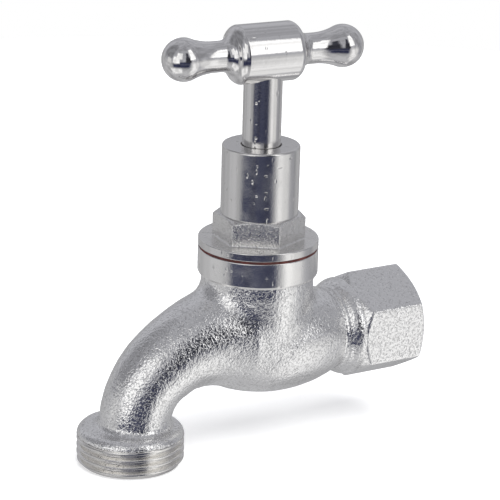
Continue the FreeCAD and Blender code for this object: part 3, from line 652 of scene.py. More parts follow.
    def solid(self, points: Array) -> Array:
        """Distance outside the whole casting: joined forms, and a core into the socket, less the hollows."""
        trunk = blend(self.bead(points), self.belly(points), self.bead_fillet)
        trunk = blend(trunk, self.spout(points), self.spout_fillet)
        trunk = blend(trunk, self.neck(points), self.neck_fillet)
        outside, _ = blend(trunk, self.shoulder(points), self.shoulder_fillet)
        x, y, z = points.T
        start, end = self.core_span
        core = np.maximum(np.hypot(y, z) - self.core_radius, np.maximum(start - x, x - end))
        outside = np.minimum(outside + self.unevenness(points), core)
        return np.maximum(outside, -self.waterways.distance(points, self.spout_line(points)[1]))

    def casting(self) -> bpy.types.Object:
        """Mesh the blended casting between socket, collar and outlet thread."""
        points, faces = surface_net(self.solid, (14.4, -15.6, -20.2), (92.0, 15.6, 21.8), self.net_step)
        return Shell("cast_body").loose(points, faces).make()

    def collar(self) -> bpy.types.Object:
        """The machined ring that the bonnet screws into, an outline carried round the spindle's axis."""
        bore = 12.0
        outline = [(bore, 17.7, 0), (13.2, 17.7, 0), (13.2, 18.5, 0), (self.collar_radius - 0.3, 18.4, 0.12),
                   (self.collar_radius, 19.0, 0.3), (self.collar_radius, self.collar_top, 0.22),
                   (bore, self.collar_top, 0.2)]
        line = rounded(outline, closed=True)
        grid = turned_grid(line, even_turn(160), upright(SPINDLE_X))
        return Shell("collar_ring").grid(grid, wrap_rows=True).make()

    def hose_thread(self) -> bpy.types.Object:
        """The outlet ring with its pipe thread outside and bore inside."""
        rim = self.outlet_radius - 1.1
        top, foot = self.outlet_thread_top + 0.05, self.outlet_foot
        bore = self.waterways.bore_radius
        outline = [(bore, top, 0), (bore, foot, 0.35), (rim, foot, 0.25),
                   (self.outlet_radius, foot + 1.1, 0.0), (self.outlet_radius, top, 0)]
        line = subdivided(rounded(outline), foot + 1.0, top, 0.085)
        root = foot - 0.86 - self.pitch / 2
        thread = Thread(self.outlet_radius, 1.162, self.pitch, foot - 0.6, top - 0.05, 0.5, root)
        grid = turned_grid(line, even_turn(240), upright(OUTLET_X), thread)
        return Shell("hose_thread").grid(grid, wrap_rows=True).make()

    def wall_socket(self) -> bpy.types.Object:
        """The hexagon at the wall: a soft hexagon cut by a cone at each end, with the pipe thread inside."""
        turn = six_sided_turn()
        inner = [(self.socket_thread, self.socket_length, 0), (self.socket_thread, 1.2845, 0),
                 (10.6, 0.0, 0.2), (self.socket_mouth, 0.0, 0)]
        inner_line = subdivided(rounded(inner), 1.2, self.socket_length, 0.085)
        thread = Thread(self.socket_thread, -1.05, self.pitch, 0.6, 15.6, 0.7)
        inside = turned_grid(inner_line, turn, level, thread)
        length = self.socket_length
        along = np.concatenate([np.linspace(0, 2.4, 26), np.linspace(2.6, length - 2.8, 24),
                                np.linspace(length - 2.6, length, 26)])
        hexagon = hexagon_radius(turn, self.socket_flats, 84)[None]
        corner = self.socket_flats / math.sqrt(3)
        mouth = self.socket_mouth + along * (corner - self.socket_mouth) / self.mouth_chamfer
        back = self.socket_back + (length - along) * (corner - self.socket_back) / self.back_chamfer
        cone = np.minimum(mouth, back)[:, None]
        radius = soft_least(hexagon, cone, 0.55)
        outside = level(*np.broadcast_arrays(radius, along[:, None], turn[None]))
        return Shell("wall_socket").grid(np.concatenate([inside, outside]), wrap_rows=True).make()

    def build(self) -> list[bpy.types.Object]:
        """Make the pieces of the cast body and let them stand for its node.

        Returns:
            Casting, collar, outlet thread and socket.
        """
        pieces = [self.casting(), self.collar(), self.hose_thread(), self.wall_socket()]
        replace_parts(pieces[0], "body_casting")
        for piece in pieces:
            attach(piece, self.body)
        return pieces

    def dress(self, pieces: list[bpy.types.Object], library: "FinishLibrary") -> None:
        """Give the rough parts the cast finish and the cut parts the machined one."""
        for piece, finish in zip(pieces, ("cast", "collar", "thread", "cast")):
            piece.data.materials.append(library[finish])


# Bonnet, spindle and handle


@dataclass
class Bonnet:
    """The bonnet: screwed sleeve, flange, hexagon and the long guide for the spindle. Sizes in mm."""

    body: str = "tap_body"
    flange_radius: float = 14.9
    flange_foot: float = 25.6
    flange_top: float = 27.6
    flats: float = 20.0
    hexagon_top: float = 33.8
    sleeve_radius: float = 9.6
    sleeve_top: float = 51.15
    screw_radius: float = 11.95
    screw_foot: float = 17.6
    cavity_radius: float = 10.0
    cavity_top: float = 20.1
    nut_radius: float = 6.55
    nut_top: float = 34.3
    guide_radius: float = 4.8125
    guide_top: float = 49.65
    mouth_radius: float = 5.05

    def lines(self) -> tuple[Array, Array]:
        """The outlines below and above the hexagon; each starts or ends at the cavity's roof."""
        flange, sleeve = self.flange_radius, self.sleeve_radius
        below = [(self.cavity_radius, self.cavity_top, 0), (self.cavity_radius, self.screw_foot, 0.1),
                 (self.screw_radius, self.screw_foot, 0.3), (self.screw_radius, self.flange_foot, 0),
                 (flange, self.flange_foot, 0.18), (flange, self.flange_top, 0.3), (11.9, self.flange_top, 0)]
        above = [(sleeve + 0.05, self.hexagon_top, 0), (sleeve, self.hexagon_top, 0.12),
                 (sleeve, self.sleeve_top, 0.5), (self.mouth_radius, self.sleeve_top, 0.12),
                 (self.mouth_radius, self.guide_top, 0), (self.guide_radius, self.guide_top, 0),
                 (self.guide_radius, self.nut_top, 0), (self.nut_radius, self.nut_top, 0),
                 (self.nut_radius, self.cavity_top, 0)]
        return rounded(below), rounded(above)

    def hexagon(self, turn: Array) -> tuple[Array, Array]:
        """Radius and height of the hexagon's rows: a soft hexagon, cut by a cone above, with a soft foot."""
        height = np.concatenate([self.flange_top + 0.5 * (1 - np.cos(np.linspace(0, math.pi / 2, 7))),
                                 np.linspace(28.2, 32.6, 14), np.linspace(32.7, self.hexagon_top, 22)])
        corner = self.flats / math.sqrt(3)
        cone = (self.flats / 2 + (self.hexagon_top - height) * (corner - self.flats / 2) / 0.8)[:, None]
        radius = soft_least(hexagon_radius(turn, self.flats, 120)[None], cone, 0.35)
        foot = 0.5 - np.sqrt(np.clip(0.25 - np.clip(0.5 - (height - self.flange_top), 0, None) ** 2, 0, None))
        return radius + np.where(height < self.flange_top + 0.5, foot, 0)[:, None], height[:, None]

    def build(self) -> bpy.types.Object:
        """Make the bonnet as one closed grid carried round the spindle's axis and replace its node."""
        turn = six_sided_turn(14, 8)
        below, above = self.lines()
        below = subdivided(below, 17.8, self.flange_foot, 0.1)
        thread = Thread(self.screw_radius, 0.7, 1.5, 17.9, 25.3, 0.6)
        spun = turn + BONNET_TURN
        place = upright(SPINDLE_X)
        radius, height = self.hexagon(turn)
        rows = [turned_grid(below, spun, place, thread),
                place(*np.broadcast_arrays(radius, height, spun[None])),
                turned_grid(above, spun, place)]
        made = Shell("bonnet_shell").grid(np.concatenate(rows), wrap_rows=True).make()
        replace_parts(made, "bonnet")
        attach(made, self.body)
        return made

    def dress(self, made: bpy.types.Object, library: "FinishLibrary") -> None:
        """Turned finish all over, cast on the hexagon's faces and duller on the flange's top."""
        mesh = made.data
        for name in ("turned", "cast_fine", "faced"):
            mesh.materials.append(library[name])
        centres = np.empty(len(mesh.polygons) * 3, np.float32)
        mesh.polygons.foreach_get("center", centres)
        centres = centres.reshape(-1, 3) / MM
        ring = np.hypot(centres[:, 0] - SPINDLE_X, centres[:, 1])
        height, close = centres[:, 2], 0.05
        outer = (ring > 9.9) & (height < self.hexagon_top - close)
        rough = outer & (height > self.flange_top + close)
        top = outer & (height > self.flange_top - 2 * close) & ~rough
        mesh.polygons.foreach_set("material_index", (rough + 2 * top).astype(np.int32))


@dataclass
class Spindle:
    """The spindle: stem with seal grooves above, screw below, hollow for the jumper's stem. Sizes in mm."""

    body: str = "spindle_and_handle"
    stem: float = 4.7625
    screw: float = 6.5
    screw_foot: float = 12.1
    screw_top: float = 25.8
    hole: float = 3.05
    hole_top: float = 24.9
    groove: float = 3.3125
    groove_places: tuple[float, float] = (36.3, 40.8)
    groove_width: float = 1.9
    top: float = 76.68
    chamfer: float = 0.4

    def build(self) -> bpy.types.Object:
        """Make the spindle as an outline carried round its axis, with the screw's thread."""
        foot, head, half = self.screw_foot, self.screw_top, self.groove_width / 2
        outline = [(0, self.hole_top, 0), (self.hole, self.hole_top, 0), (self.hole, foot, 0.2),
                   (self.screw, foot, 0.3), (self.screw, head, 0), (self.stem, head, 0)]
        for centre in self.groove_places:
            outline += [(self.stem, centre - half, 0.08), (self.groove, centre - half, 0),
                        (self.groove, centre + half, 0), (self.stem, centre + half, 0.08)]
        outline += [(self.stem, self.top - self.chamfer, 0.1), (self.stem - self.chamfer, self.top, 0.1),
                    (0, self.top, 0)]
        line = subdivided(rounded(outline), foot + 0.2, head + 0.1, 0.16)
        thread = Thread(self.screw, 0.9, 3.0, foot - 0.1, head + 0.1, 0.8)
        made = Shell("spindle_bar").grid(turned_grid(line, even_turn(128), upright(SPINDLE_X), thread)).make()
        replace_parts(made, "spindle")
        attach(made, self.body)
        return made

    def dress(self, made: bpy.types.Object, library: "FinishLibrary") -> None:
        """Give the bar its turned finish."""
        made.data.materials.append(library["bar"])


@dataclass
class TeeHandle:
    """The tee handle: a barrel across the spindle, two flared necks and round ends. Sizes in mm."""

    body: str = "spindle_and_handle"
    barrel: float = 7.25
    half_barrel: float = 6.925
    round_bend: float = 2.8
    hollow_bend: float = 3.2
    flare_start: float = math.radians(15.0)
    neck: float = 3.8
    neck_end: float = 13.4
    ball: float = 5.3
    ball_place: float = 21.24

    def arm(self) -> Array:
        """Half of the handle's outline, from the barrel's middle to the tip.

        After the barrel's edge come a round arc, a hollow arc that it touches, the straight neck, a long
        hollow arc and the ball, each touching the next.

        Returns:
            Points as radius and place along the handle.
        """
        begin = self.flare_start
        drop = self.barrel - self.neck
        reach = math.cos(begin) * self.round_bend + self.hollow_bend - drop
        meet = math.acos(reach / (self.round_bend + self.hollow_bend))
        turn = np.linspace(begin, meet, 26)
        first = np.stack([self.barrel - self.round_bend * (math.cos(begin) - np.cos(turn)),
                          self.half_barrel + self.round_bend * (np.sin(turn) - math.sin(begin))], -1)
        flare_end = first[-1, 1] + self.hollow_bend * math.sin(meet)
        turn = np.linspace(meet, 0, 26)[1:]
        second = np.stack([self.neck + self.hollow_bend * (1 - np.cos(turn)),
                           flare_end - self.hollow_bend * np.sin(turn)], -1)
        run = self.ball_place - self.neck_end
        sweep = (run**2 + self.neck**2 - self.ball**2) / (2 * (self.ball - self.neck))
        reach = math.asin(run / (sweep + self.ball))
        turn = np.linspace(0, reach, 30)
        third = np.stack([self.neck + sweep * (1 - np.cos(turn)), self.neck_end + sweep * np.sin(turn)], -1)
        turn = np.linspace(-reach, math.pi / 2, 56)[1:]
        fourth = np.stack([self.ball * np.cos(turn), self.ball_place + self.ball * np.sin(turn)], -1)
        fourth[-1, 0] = 0.0
        end = self.half_barrel
        sunk = np.array([[0, 0], [0, 2.3], [0, 4.6], [0, end - 0.16], [0, end - 0.12],
                         [0.006, end - 0.05], [0.022, end + 0.01]])
        edge = np.array([self.barrel, 0]) + sunk * np.array([-1, 1])
        return np.concatenate([edge, first[1:], second, third, fourth])

    def build(self) -> bpy.types.Object:
        """Make the handle by carrying its outline round its axis and replace its node."""
        arm = self.arm()
        other = arm[:0:-1] * np.array([1, -1])
        line = np.concatenate([other, arm])
        made = Shell("tee_handle").grid(turned_grid(line, even_turn(144), across_spindle)).make()
        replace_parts(made, "handle")
        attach(made, self.body)
        return made

    def dress(self, made: bpy.types.Object, library: "FinishLibrary") -> None:
        """Give the handle its mirror finish."""
        made.data.materials.append(library["polished"])


# Finishes


@dataclass
class Tree:
    """Short ways to add and link nodes in one node tree."""

    tree: bpy.types.NodeTree

    def add(self, kind: str, **settings: object) -> bpy.types.Node:
        """Add a node and set its properties.

        Args:
            kind: the node's type name.
            settings: properties by name.

        Returns:
            The node.
        """
        node = self.tree.nodes.new(kind)
        for name, value in settings.items():
            setattr(node, name, value)
        return node

    def feed(self, value: object, socket: Socket) -> None:
        """Link an output to a socket, or set the socket's own value."""
        if isinstance(value, Socket):
            self.tree.links.new(value, socket)
        else:
            socket.default_value = value

    def sum(self, operation: str, *values: object) -> Socket:
        """A Math node of the given operation, and its output."""
        node = self.add("ShaderNodeMath", operation=operation)
        for value, socket in zip(values, node.inputs):
            self.feed(value, socket)
        return node.outputs[0]

    def scaled(self, vector: object, scale: object) -> Socket:
        """A vector times a number."""
        node = self.add("ShaderNodeVectorMath", operation="SCALE")
        self.feed(vector, node.inputs[0])
        self.feed(scale, node.inputs["Scale"])
        return node.outputs[0]

    def split(self, vector: object) -> Sequence[Socket]:
        """The three parts of a vector."""
        node = self.add("ShaderNodeSeparateXYZ")
        self.feed(vector, node.inputs[0])
        return node.outputs

    def ramp(self, value: object, low: object, high: object, to_low: float = 0.0,
             to_high: float = 1.0) -> Socket:
        """A smooth Map Range from low..high to to_low..to_high, and its output."""
        node = self.add("ShaderNodeMapRange", interpolation_type="SMOOTHSTEP")
        for item, socket in zip((value, low, high, to_low, to_high), node.inputs):
            self.feed(item, socket)
        return node.outputs[0]

    def noise(self, vector: object, scale: float, detail: float, rough: float, output: str = "Fac") -> Socket:
        """A noise texture, and its value or colour."""
        node = self.add("ShaderNodeTexNoise")
        self.feed(vector, node.inputs["Vector"])
        for name, value in (("Scale", scale), ("Detail", detail), ("Roughness", rough)):
            node.inputs[name].default_value = value
        return node.outputs[output]

    def cells(self, vector: object, scale: float, feature: str = "F1") -> bpy.types.Node:
        """A Voronoi texture of the given feature."""
        node = self.add("ShaderNodeTexVoronoi", feature=feature)
        self.feed(vector, node.inputs["Vector"])
        node.inputs["Scale"].default_value = scale
        return node

    def mix(self, share: object, first: object, second: object) -> Socket:
        """A colour mix, and its output."""
        node = self.add("ShaderNodeMix", data_type="RGBA")
        for value, socket in ((share, 0), (first, 6), (second, 7)):
            self.feed(value, node.inputs[socket])
        return node.outputs[2]

    def bump(self, height: object, distance: float, normal: Socket | None = None) -> Socket:
        """A bump of a height in mm, over another where one is given, and its normal."""
        node = self.add("ShaderNodeBump")
        node.inputs["Distance"].default_value = distance * MM
        self.feed(height, node.inputs["Height"])
        if normal is not None:
            self.feed(normal, node.inputs["Normal"])
        return node.outputs[0]


def new_group(name: str, inputs: Sequence[tuple[str, str]],
              outputs: Sequence[str]) -> tuple[Tree, Sequence[Socket], bpy.types.Node]:
    """Start a shader node group.

    Args:
        name: the group's name.
        inputs: name and type of each input.
        outputs: names of the outputs, which are numbers.

    Returns:
        The group's tree, the sockets that bring its inputs in, and its output node.
    """
    tree = bpy.data.node_groups.new(name, "ShaderNodeTree")
    for title, kind in inputs:
        tree.interface.new_socket(name=title, in_out="INPUT", socket_type="NodeSocket" + kind)
    for title in outputs:
        tree.interface.new_socket(name=title, in_out="OUTPUT", socket_type="NodeSocketFloat")
    work = Tree(tree)
    given = work.add("NodeGroupInput").outputs[:len(inputs)]
    return work, given, work.add("NodeGroupOutput")


SKIN_INPUTS = (("Vector", "Vector"), ("Scale", "Float"))


def grain_group() -> bpy.types.NodeTree:
    """The skin of a blasted casting: short wavy ridges over flat-topped pebbles with steep borders."""
    work, (vector, scale), out = new_group(Skin.CAST.value, SKIN_INPUTS, ("Height", "Painted_shade"))
    placed = work.scaled(vector, scale)
    warped = work.add("ShaderNodeVectorMath", operation="MULTIPLY_ADD")
    work.feed(work.noise(placed, 1.3, 1.0, 0.5, "Color"), warped.inputs[0])
    warped.inputs[1].default_value = (1.1, 1.1, 1.1)
    work.feed(placed, warped.inputs[2])
    border = work.cells(warped.outputs[0], 1.0, "DISTANCE_TO_EDGE").outputs["Distance"]
    ridges = work.noise(warped.outputs[0], 1.0, 1.0, 0.4)
    relief = work.ramp(ridges, 0.35, 0.62, 0.22, 0.08)
    work.feed(work.sum("MULTIPLY_ADD", work.ramp(border, 0.0, 0.26), relief, ridges), out.inputs[0])
    # Painted shade: the colour darkens in the pits along the pebbles' borders, away from the ridges.
    painted_pit_shade = work.sum("MULTIPLY", work.ramp(border, 0.12, 0.0), work.ramp(ridges, 0.52, 0.40))
    work.feed(painted_pit_shade, out.inputs[1])
    return work.tree


def dent_group() -> bpy.types.NodeTree:
    """The skin of a cut and plated surface: a faint orange peel, small scattered dents and short nicks."""
    work, (vector, scale), out = new_group(Skin.CUT.value, SKIN_INPUTS, ("Height", "Mask"))
    placed = work.scaled(vector, scale)
    peel = work.noise(placed, 1.0, 2.0, 0.5)
    crowd = work.ramp(work.noise(placed, 0.12, 2.0, 0.6), 0.42, 0.58)
    marks = []
    for turn, stretch in (((0.4, 0.3, 0.2), (0.8, 0.9, 0.35)), ((-0.5, 0.8, 0.9), (0.32, 0.9, 0.8))):
        node = work.add("ShaderNodeMapping")
        work.feed(placed, node.inputs["Vector"])
        node.inputs["Rotation"].default_value = turn
        node.inputs["Scale"].default_value = stretch
        dots = work.cells(node.outputs[0], 0.33)
        chosen = work.add("ShaderNodeSeparateColor")
        work.feed(dots.outputs["Color"], chosen.inputs[0])
        there = work.sum("GREATER_THAN", chosen.outputs[0], 0.62)
        marks.append(work.sum("MULTIPLY", work.ramp(dots.outputs["Distance"], 0.26, 0.08), there))
    both = work.sum("MULTIPLY", work.sum("MAXIMUM", *marks), work.sum("MULTIPLY_ADD", crowd, 0.8, 0.2))
    work.feed(work.sum("MULTIPLY_ADD", both, -5.0, peel), out.inputs[0])
    work.feed(work.sum("MULTIPLY", both, 0.35), out.inputs[1])
    return work.tree


@dataclass(frozen=True)
class Finish:
    """What every finish of the tap has.

    Attributes:
        name: the material's name.
        tint: main colour; on the plated pieces it also holds painted light, a brightness set for each piece.
        shade: colour of the painted shade in a casting's pits, and of old scratches or patches.
        roughness: lowest and highest roughness.
        grain: width of the surface's grain, in mm.
        depth: height of the grain, in mm.
    """

    name: str
    tint: Colour
    shade: Colour
    roughness: tuple[float, float]
    grain: float
    depth: float

    def begin(self, skin: bpy.types.NodeTree,
              metallic: float) -> tuple[bpy.types.Material, Tree, Socket, Socket, Socket]:
        """Start the material with its skin.

        Args:
            skin: the node group that makes the grain.
            metallic: 1 for bare metal, else 0.

        Returns:
            The material, its tree, the place on the object, and the skin's height and mask.
        """
        made = bpy.data.materials.new(self.name)
        made.use_nodes = True
        work = Tree(made.node_tree)
        self.shader(work)["Metallic"].default_value = metallic
        where = work.add("ShaderNodeTexCoord").outputs["Object"]
        group = work.add("ShaderNodeGroup", node_tree=skin)
        work.feed(where, group.inputs["Vector"])
        group.inputs["Scale"].default_value = 1 / (self.grain * MM)
        height, mask = group.outputs
        return made, work, where, height, mask

    def shader(self, work: Tree) -> Sequence[Socket]:
        """The inputs of a material's shader."""
        return work.tree.nodes["Principled BSDF"].inputs

    def colour(self, work: Tree, share: Socket) -> None:
        """Colour the material from tint to shade by a share."""
        mixed = work.mix(share, (*self.tint, 1.0), (*self.shade, 1.0))
        work.feed(mixed, self.shader(work)["Base Color"])


@dataclass(frozen=True)
class PlatedFinish(Finish):
    """Bright nickel plate over one kind of surface.

    Attributes:
        waves: width and height of the slow waves under the grain, in mm.
        skin: the fine relief.
    """

    waves: tuple[float, float]
    skin: Skin = Skin.CUT

    def material(self, groups: dict[str, bpy.types.NodeTree]) -> bpy.types.Material:
        """Make the material.

        Args:
            groups: the shared node groups by name.

        Returns:
            The material.
        """
        made, work, where, height, mask = self.begin(groups[self.skin.value], 1.0)
        # On a cast skin the mask is painted shade in the pits; on a cut skin it marks dents and nicks.
        self.colour(work, mask)
        stains = work.noise(where, 1 / (7 * MM), 3.0, 0.6)
        work.feed(work.ramp(stains, 0.35, 0.7, *self.roughness), self.shader(work)["Roughness"])
        wide, tall = self.waves
        slow = work.bump(work.noise(where, 1 / (wide * MM), 1.0, 0.4), tall)
        work.feed(work.bump(height, self.depth, slow), self.shader(work)["Normal"])
        return made


@dataclass(frozen=True)
class PlainFinish(Finish):
    """A finish of the inner and small pieces: one colour that varies slowly, with a fine grain.

    Attributes:
        metallic: 1 for bare metal, else 0.
    """

    metallic: float = 0.0

    def material(self, groups: dict[str, bpy.types.NodeTree]) -> bpy.types.Material:
        """Make the material.

        Args:
            groups: the shared node groups by name.

        Returns:
            The material.
        """
        made, work, where, height, _ = self.begin(groups[Skin.CAST.value], self.metallic)
        patches = work.noise(where, 1 / (3 * MM), 3.0, 0.6)
        self.colour(work, work.ramp(patches, 0.35, 0.65))
        work.feed(work.ramp(patches, 0.3, 0.7, *self.roughness), self.shader(work)["Roughness"])
        work.feed(work.bump(height, self.depth), self.shader(work)["Normal"])
        return made


NICKEL_SHADE = (0.56, 0.55, 0.53)

# Painted light: the plated pieces are all one nickel, and their tints are brighter and darker copies of it,
# set by how much light each piece shows.
FINISHES: dict[str, PlatedFinish | PlainFinish] = {
    "cast": PlatedFinish("plated_casting", (0.91, 0.905, 0.90), (0.64, 0.635, 0.63),
                         (0.06, 0.12), 0.75, 0.16, (6.0, 0.03), Skin.CAST),
    "cast_fine": PlatedFinish("plated_cast_flats", (0.84, 0.83, 0.815), (0.52, 0.51, 0.50),
                              (0.20, 0.30), 0.55, 0.13, (4.0, 0.02), Skin.CAST),
    "faced": PlatedFinish("plated_faced_flange", (0.82, 0.81, 0.79), NICKEL_SHADE,
                          (0.22, 0.34), 0.40, 0.020, (2.2, 0.02)),
    "collar": PlatedFinish("plated_collar", (0.90, 0.89, 0.875), NICKEL_SHADE,
                           (0.16, 0.28), 0.42, 0.022, (2.2, 0.03)),
    "thread": PlatedFinish("plated_thread", (0.85, 0.835, 0.81), (0.50, 0.48, 0.45),
                           (0.12, 0.24), 0.36, 0.020, (1.5, 0.02)),
    "turned": PlatedFinish("plated_turned_sleeve", (0.77, 0.76, 0.75), NICKEL_SHADE,
                           (0.15, 0.26), 0.42, 0.016, (2.5, 0.012)),
    "bar": PlatedFinish("plated_bar", (0.75, 0.74, 0.73), NICKEL_SHADE,
                        (0.10, 0.20), 0.40, 0.014, (2.0, 0.010)),
    "polished": PlatedFinish("mirror_plate", (0.80, 0.79, 0.785), NICKEL_SHADE,
                             (0.045, 0.10), 0.45, 0.007, (1.5, 0.012)),
    "fibre": PlainFinish("red_fibre", (0.13, 0.032, 0.026), (0.07, 0.02, 0.018), (0.65, 0.85), 0.25, 0.03),
    "rubber": PlainFinish("valve_rubber", (0.035, 0.035, 0.037), (0.02, 0.02, 0.021),
                          (0.55, 0.75), 0.3, 0.01),
    "brass": PlainFinish("turned_brass", (0.78, 0.56, 0.26), (0.55, 0.38, 0.17),
                         (0.18, 0.35), 0.3, 0.008, 1.0),
    "nylon": PlainFinish("thrust_washer", (0.80, 0.78, 0.70), (0.68, 0.65, 0.57), (0.35, 0.5), 0.4, 0.005),
    "steel": PlainFinish("pin_steel", (0.56, 0.55, 0.53), (0.38, 0.37, 0.36), (0.25, 0.4), 0.25, 0.008, 1.0),
}

INNER_FINISHES = {
    "body_washer": "fibre",
    "seal_ring_lower": "rubber",
    "seal_ring_upper": "rubber",
    "thrust_washer": "nylon",
    "jumper": "brass",
    "jumper_washer": "rubber",
    "washer_plate": "brass",
    "jumper_nut": "brass",
    "handle_pin": "steel",
}


class FinishLibrary(dict):
    """The materials by finish name, each made when it is first asked for."""

    def __init__(self) -> None:
        """Build the shared node groups."""
        super().__init__()
        self.groups = {Skin.CAST.value: grain_group(), Skin.CUT.value: dent_group()}

    def __missing__(self, name: str) -> bpy.types.Material:
        """Make a material."""
        self[name] = FINISHES[name].material(self.groups)
        return self[name]


def dress_inner_parts(nodes: dict[str, bpy.types.Object], library: FinishLibrary) -> None:
    """Give each carried-over piece, which keeps its own mesh, its material.

    Args:
        nodes: the frame's objects by node name.
        library: the materials.
    """
    for name, finish in INNER_FINISHES.items():
        mesh = nodes[name].data
        mesh.materials.clear()
        mesh.materials.append(library[finish])


# Studio


@dataclass(frozen=True)
class PhotoCamera:
    """The camera where the photograph was taken from, with its long lens.

    Attributes:
        azimuth: direction from the tap to the camera, from +X towards +Y, in degrees.
        height: angle of the camera above the horizon, in degrees.
        roll: tilt of the picture, in degrees.
        aim: the place in the middle of the picture, in mm.
        distance: from that place to the camera, in mm.
        lens: focal length for a sensor 36 mm wide, in mm.
    """

    azimuth: float = 58.97
    height: float = 18.48
    roll: float = 1.68
    aim: tuple[float, float, float] = (45.31, 0.0, 24.17)
    distance: float = 631.0
    lens: float = 184.4

    def build(self) -> None:
        """Make the camera; its own axes are right, up and back."""
        data = bpy.data.cameras.new("photo_camera")
        data.sensor_width = 36.0
        data.lens = self.lens
        data.clip_start = 0.05
        data.clip_end = 20.0
        camera = bpy.data.objects.new("photo_camera", data)
        turn = (Matrix.Rotation(math.radians(self.azimuth + 90), 4, "Z")
                @ Matrix.Rotation(math.radians(90 - self.height), 4, "X")
                @ Matrix.Rotation(math.radians(self.roll), 4, "Z"))
        place = Matrix.Translation([value * MM for value in self.aim])
        camera.matrix_world = place @ turn @ Matrix.Translation((0, 0, self.distance * MM))
        bpy.context.scene.collection.objects.link(camera)
        bpy.context.scene.camera = camera


@dataclass(frozen=True)
class Panel:
    """A soft-edged patch of light or shade in the studio's surroundings.

    Attributes:
        aside: its angle about the tap, from the camera towards the picture's right, in degrees.
        height: angle above the horizon, in degrees.
        half_width: half of its width, in degrees.
        half_height: half of its height, in degrees.
        soft: width of its edge, in degrees.
        bright: its brightness.
        cool: how far it leans to blue, as a share.
    """

    aside: float
    height: float
    half_width: float
    half_height: float
    soft: float
    bright: float
    cool: float = 0.0


def grey(bright: float, cool: float) -> tuple[float, float, float, float]:
    """A grey of a brightness that leans to blue by a share of it, as a socket's colour."""
    return bright * (1 - cool / 2), bright * (1 - cool / 3), bright * (1 + cool), 1.0


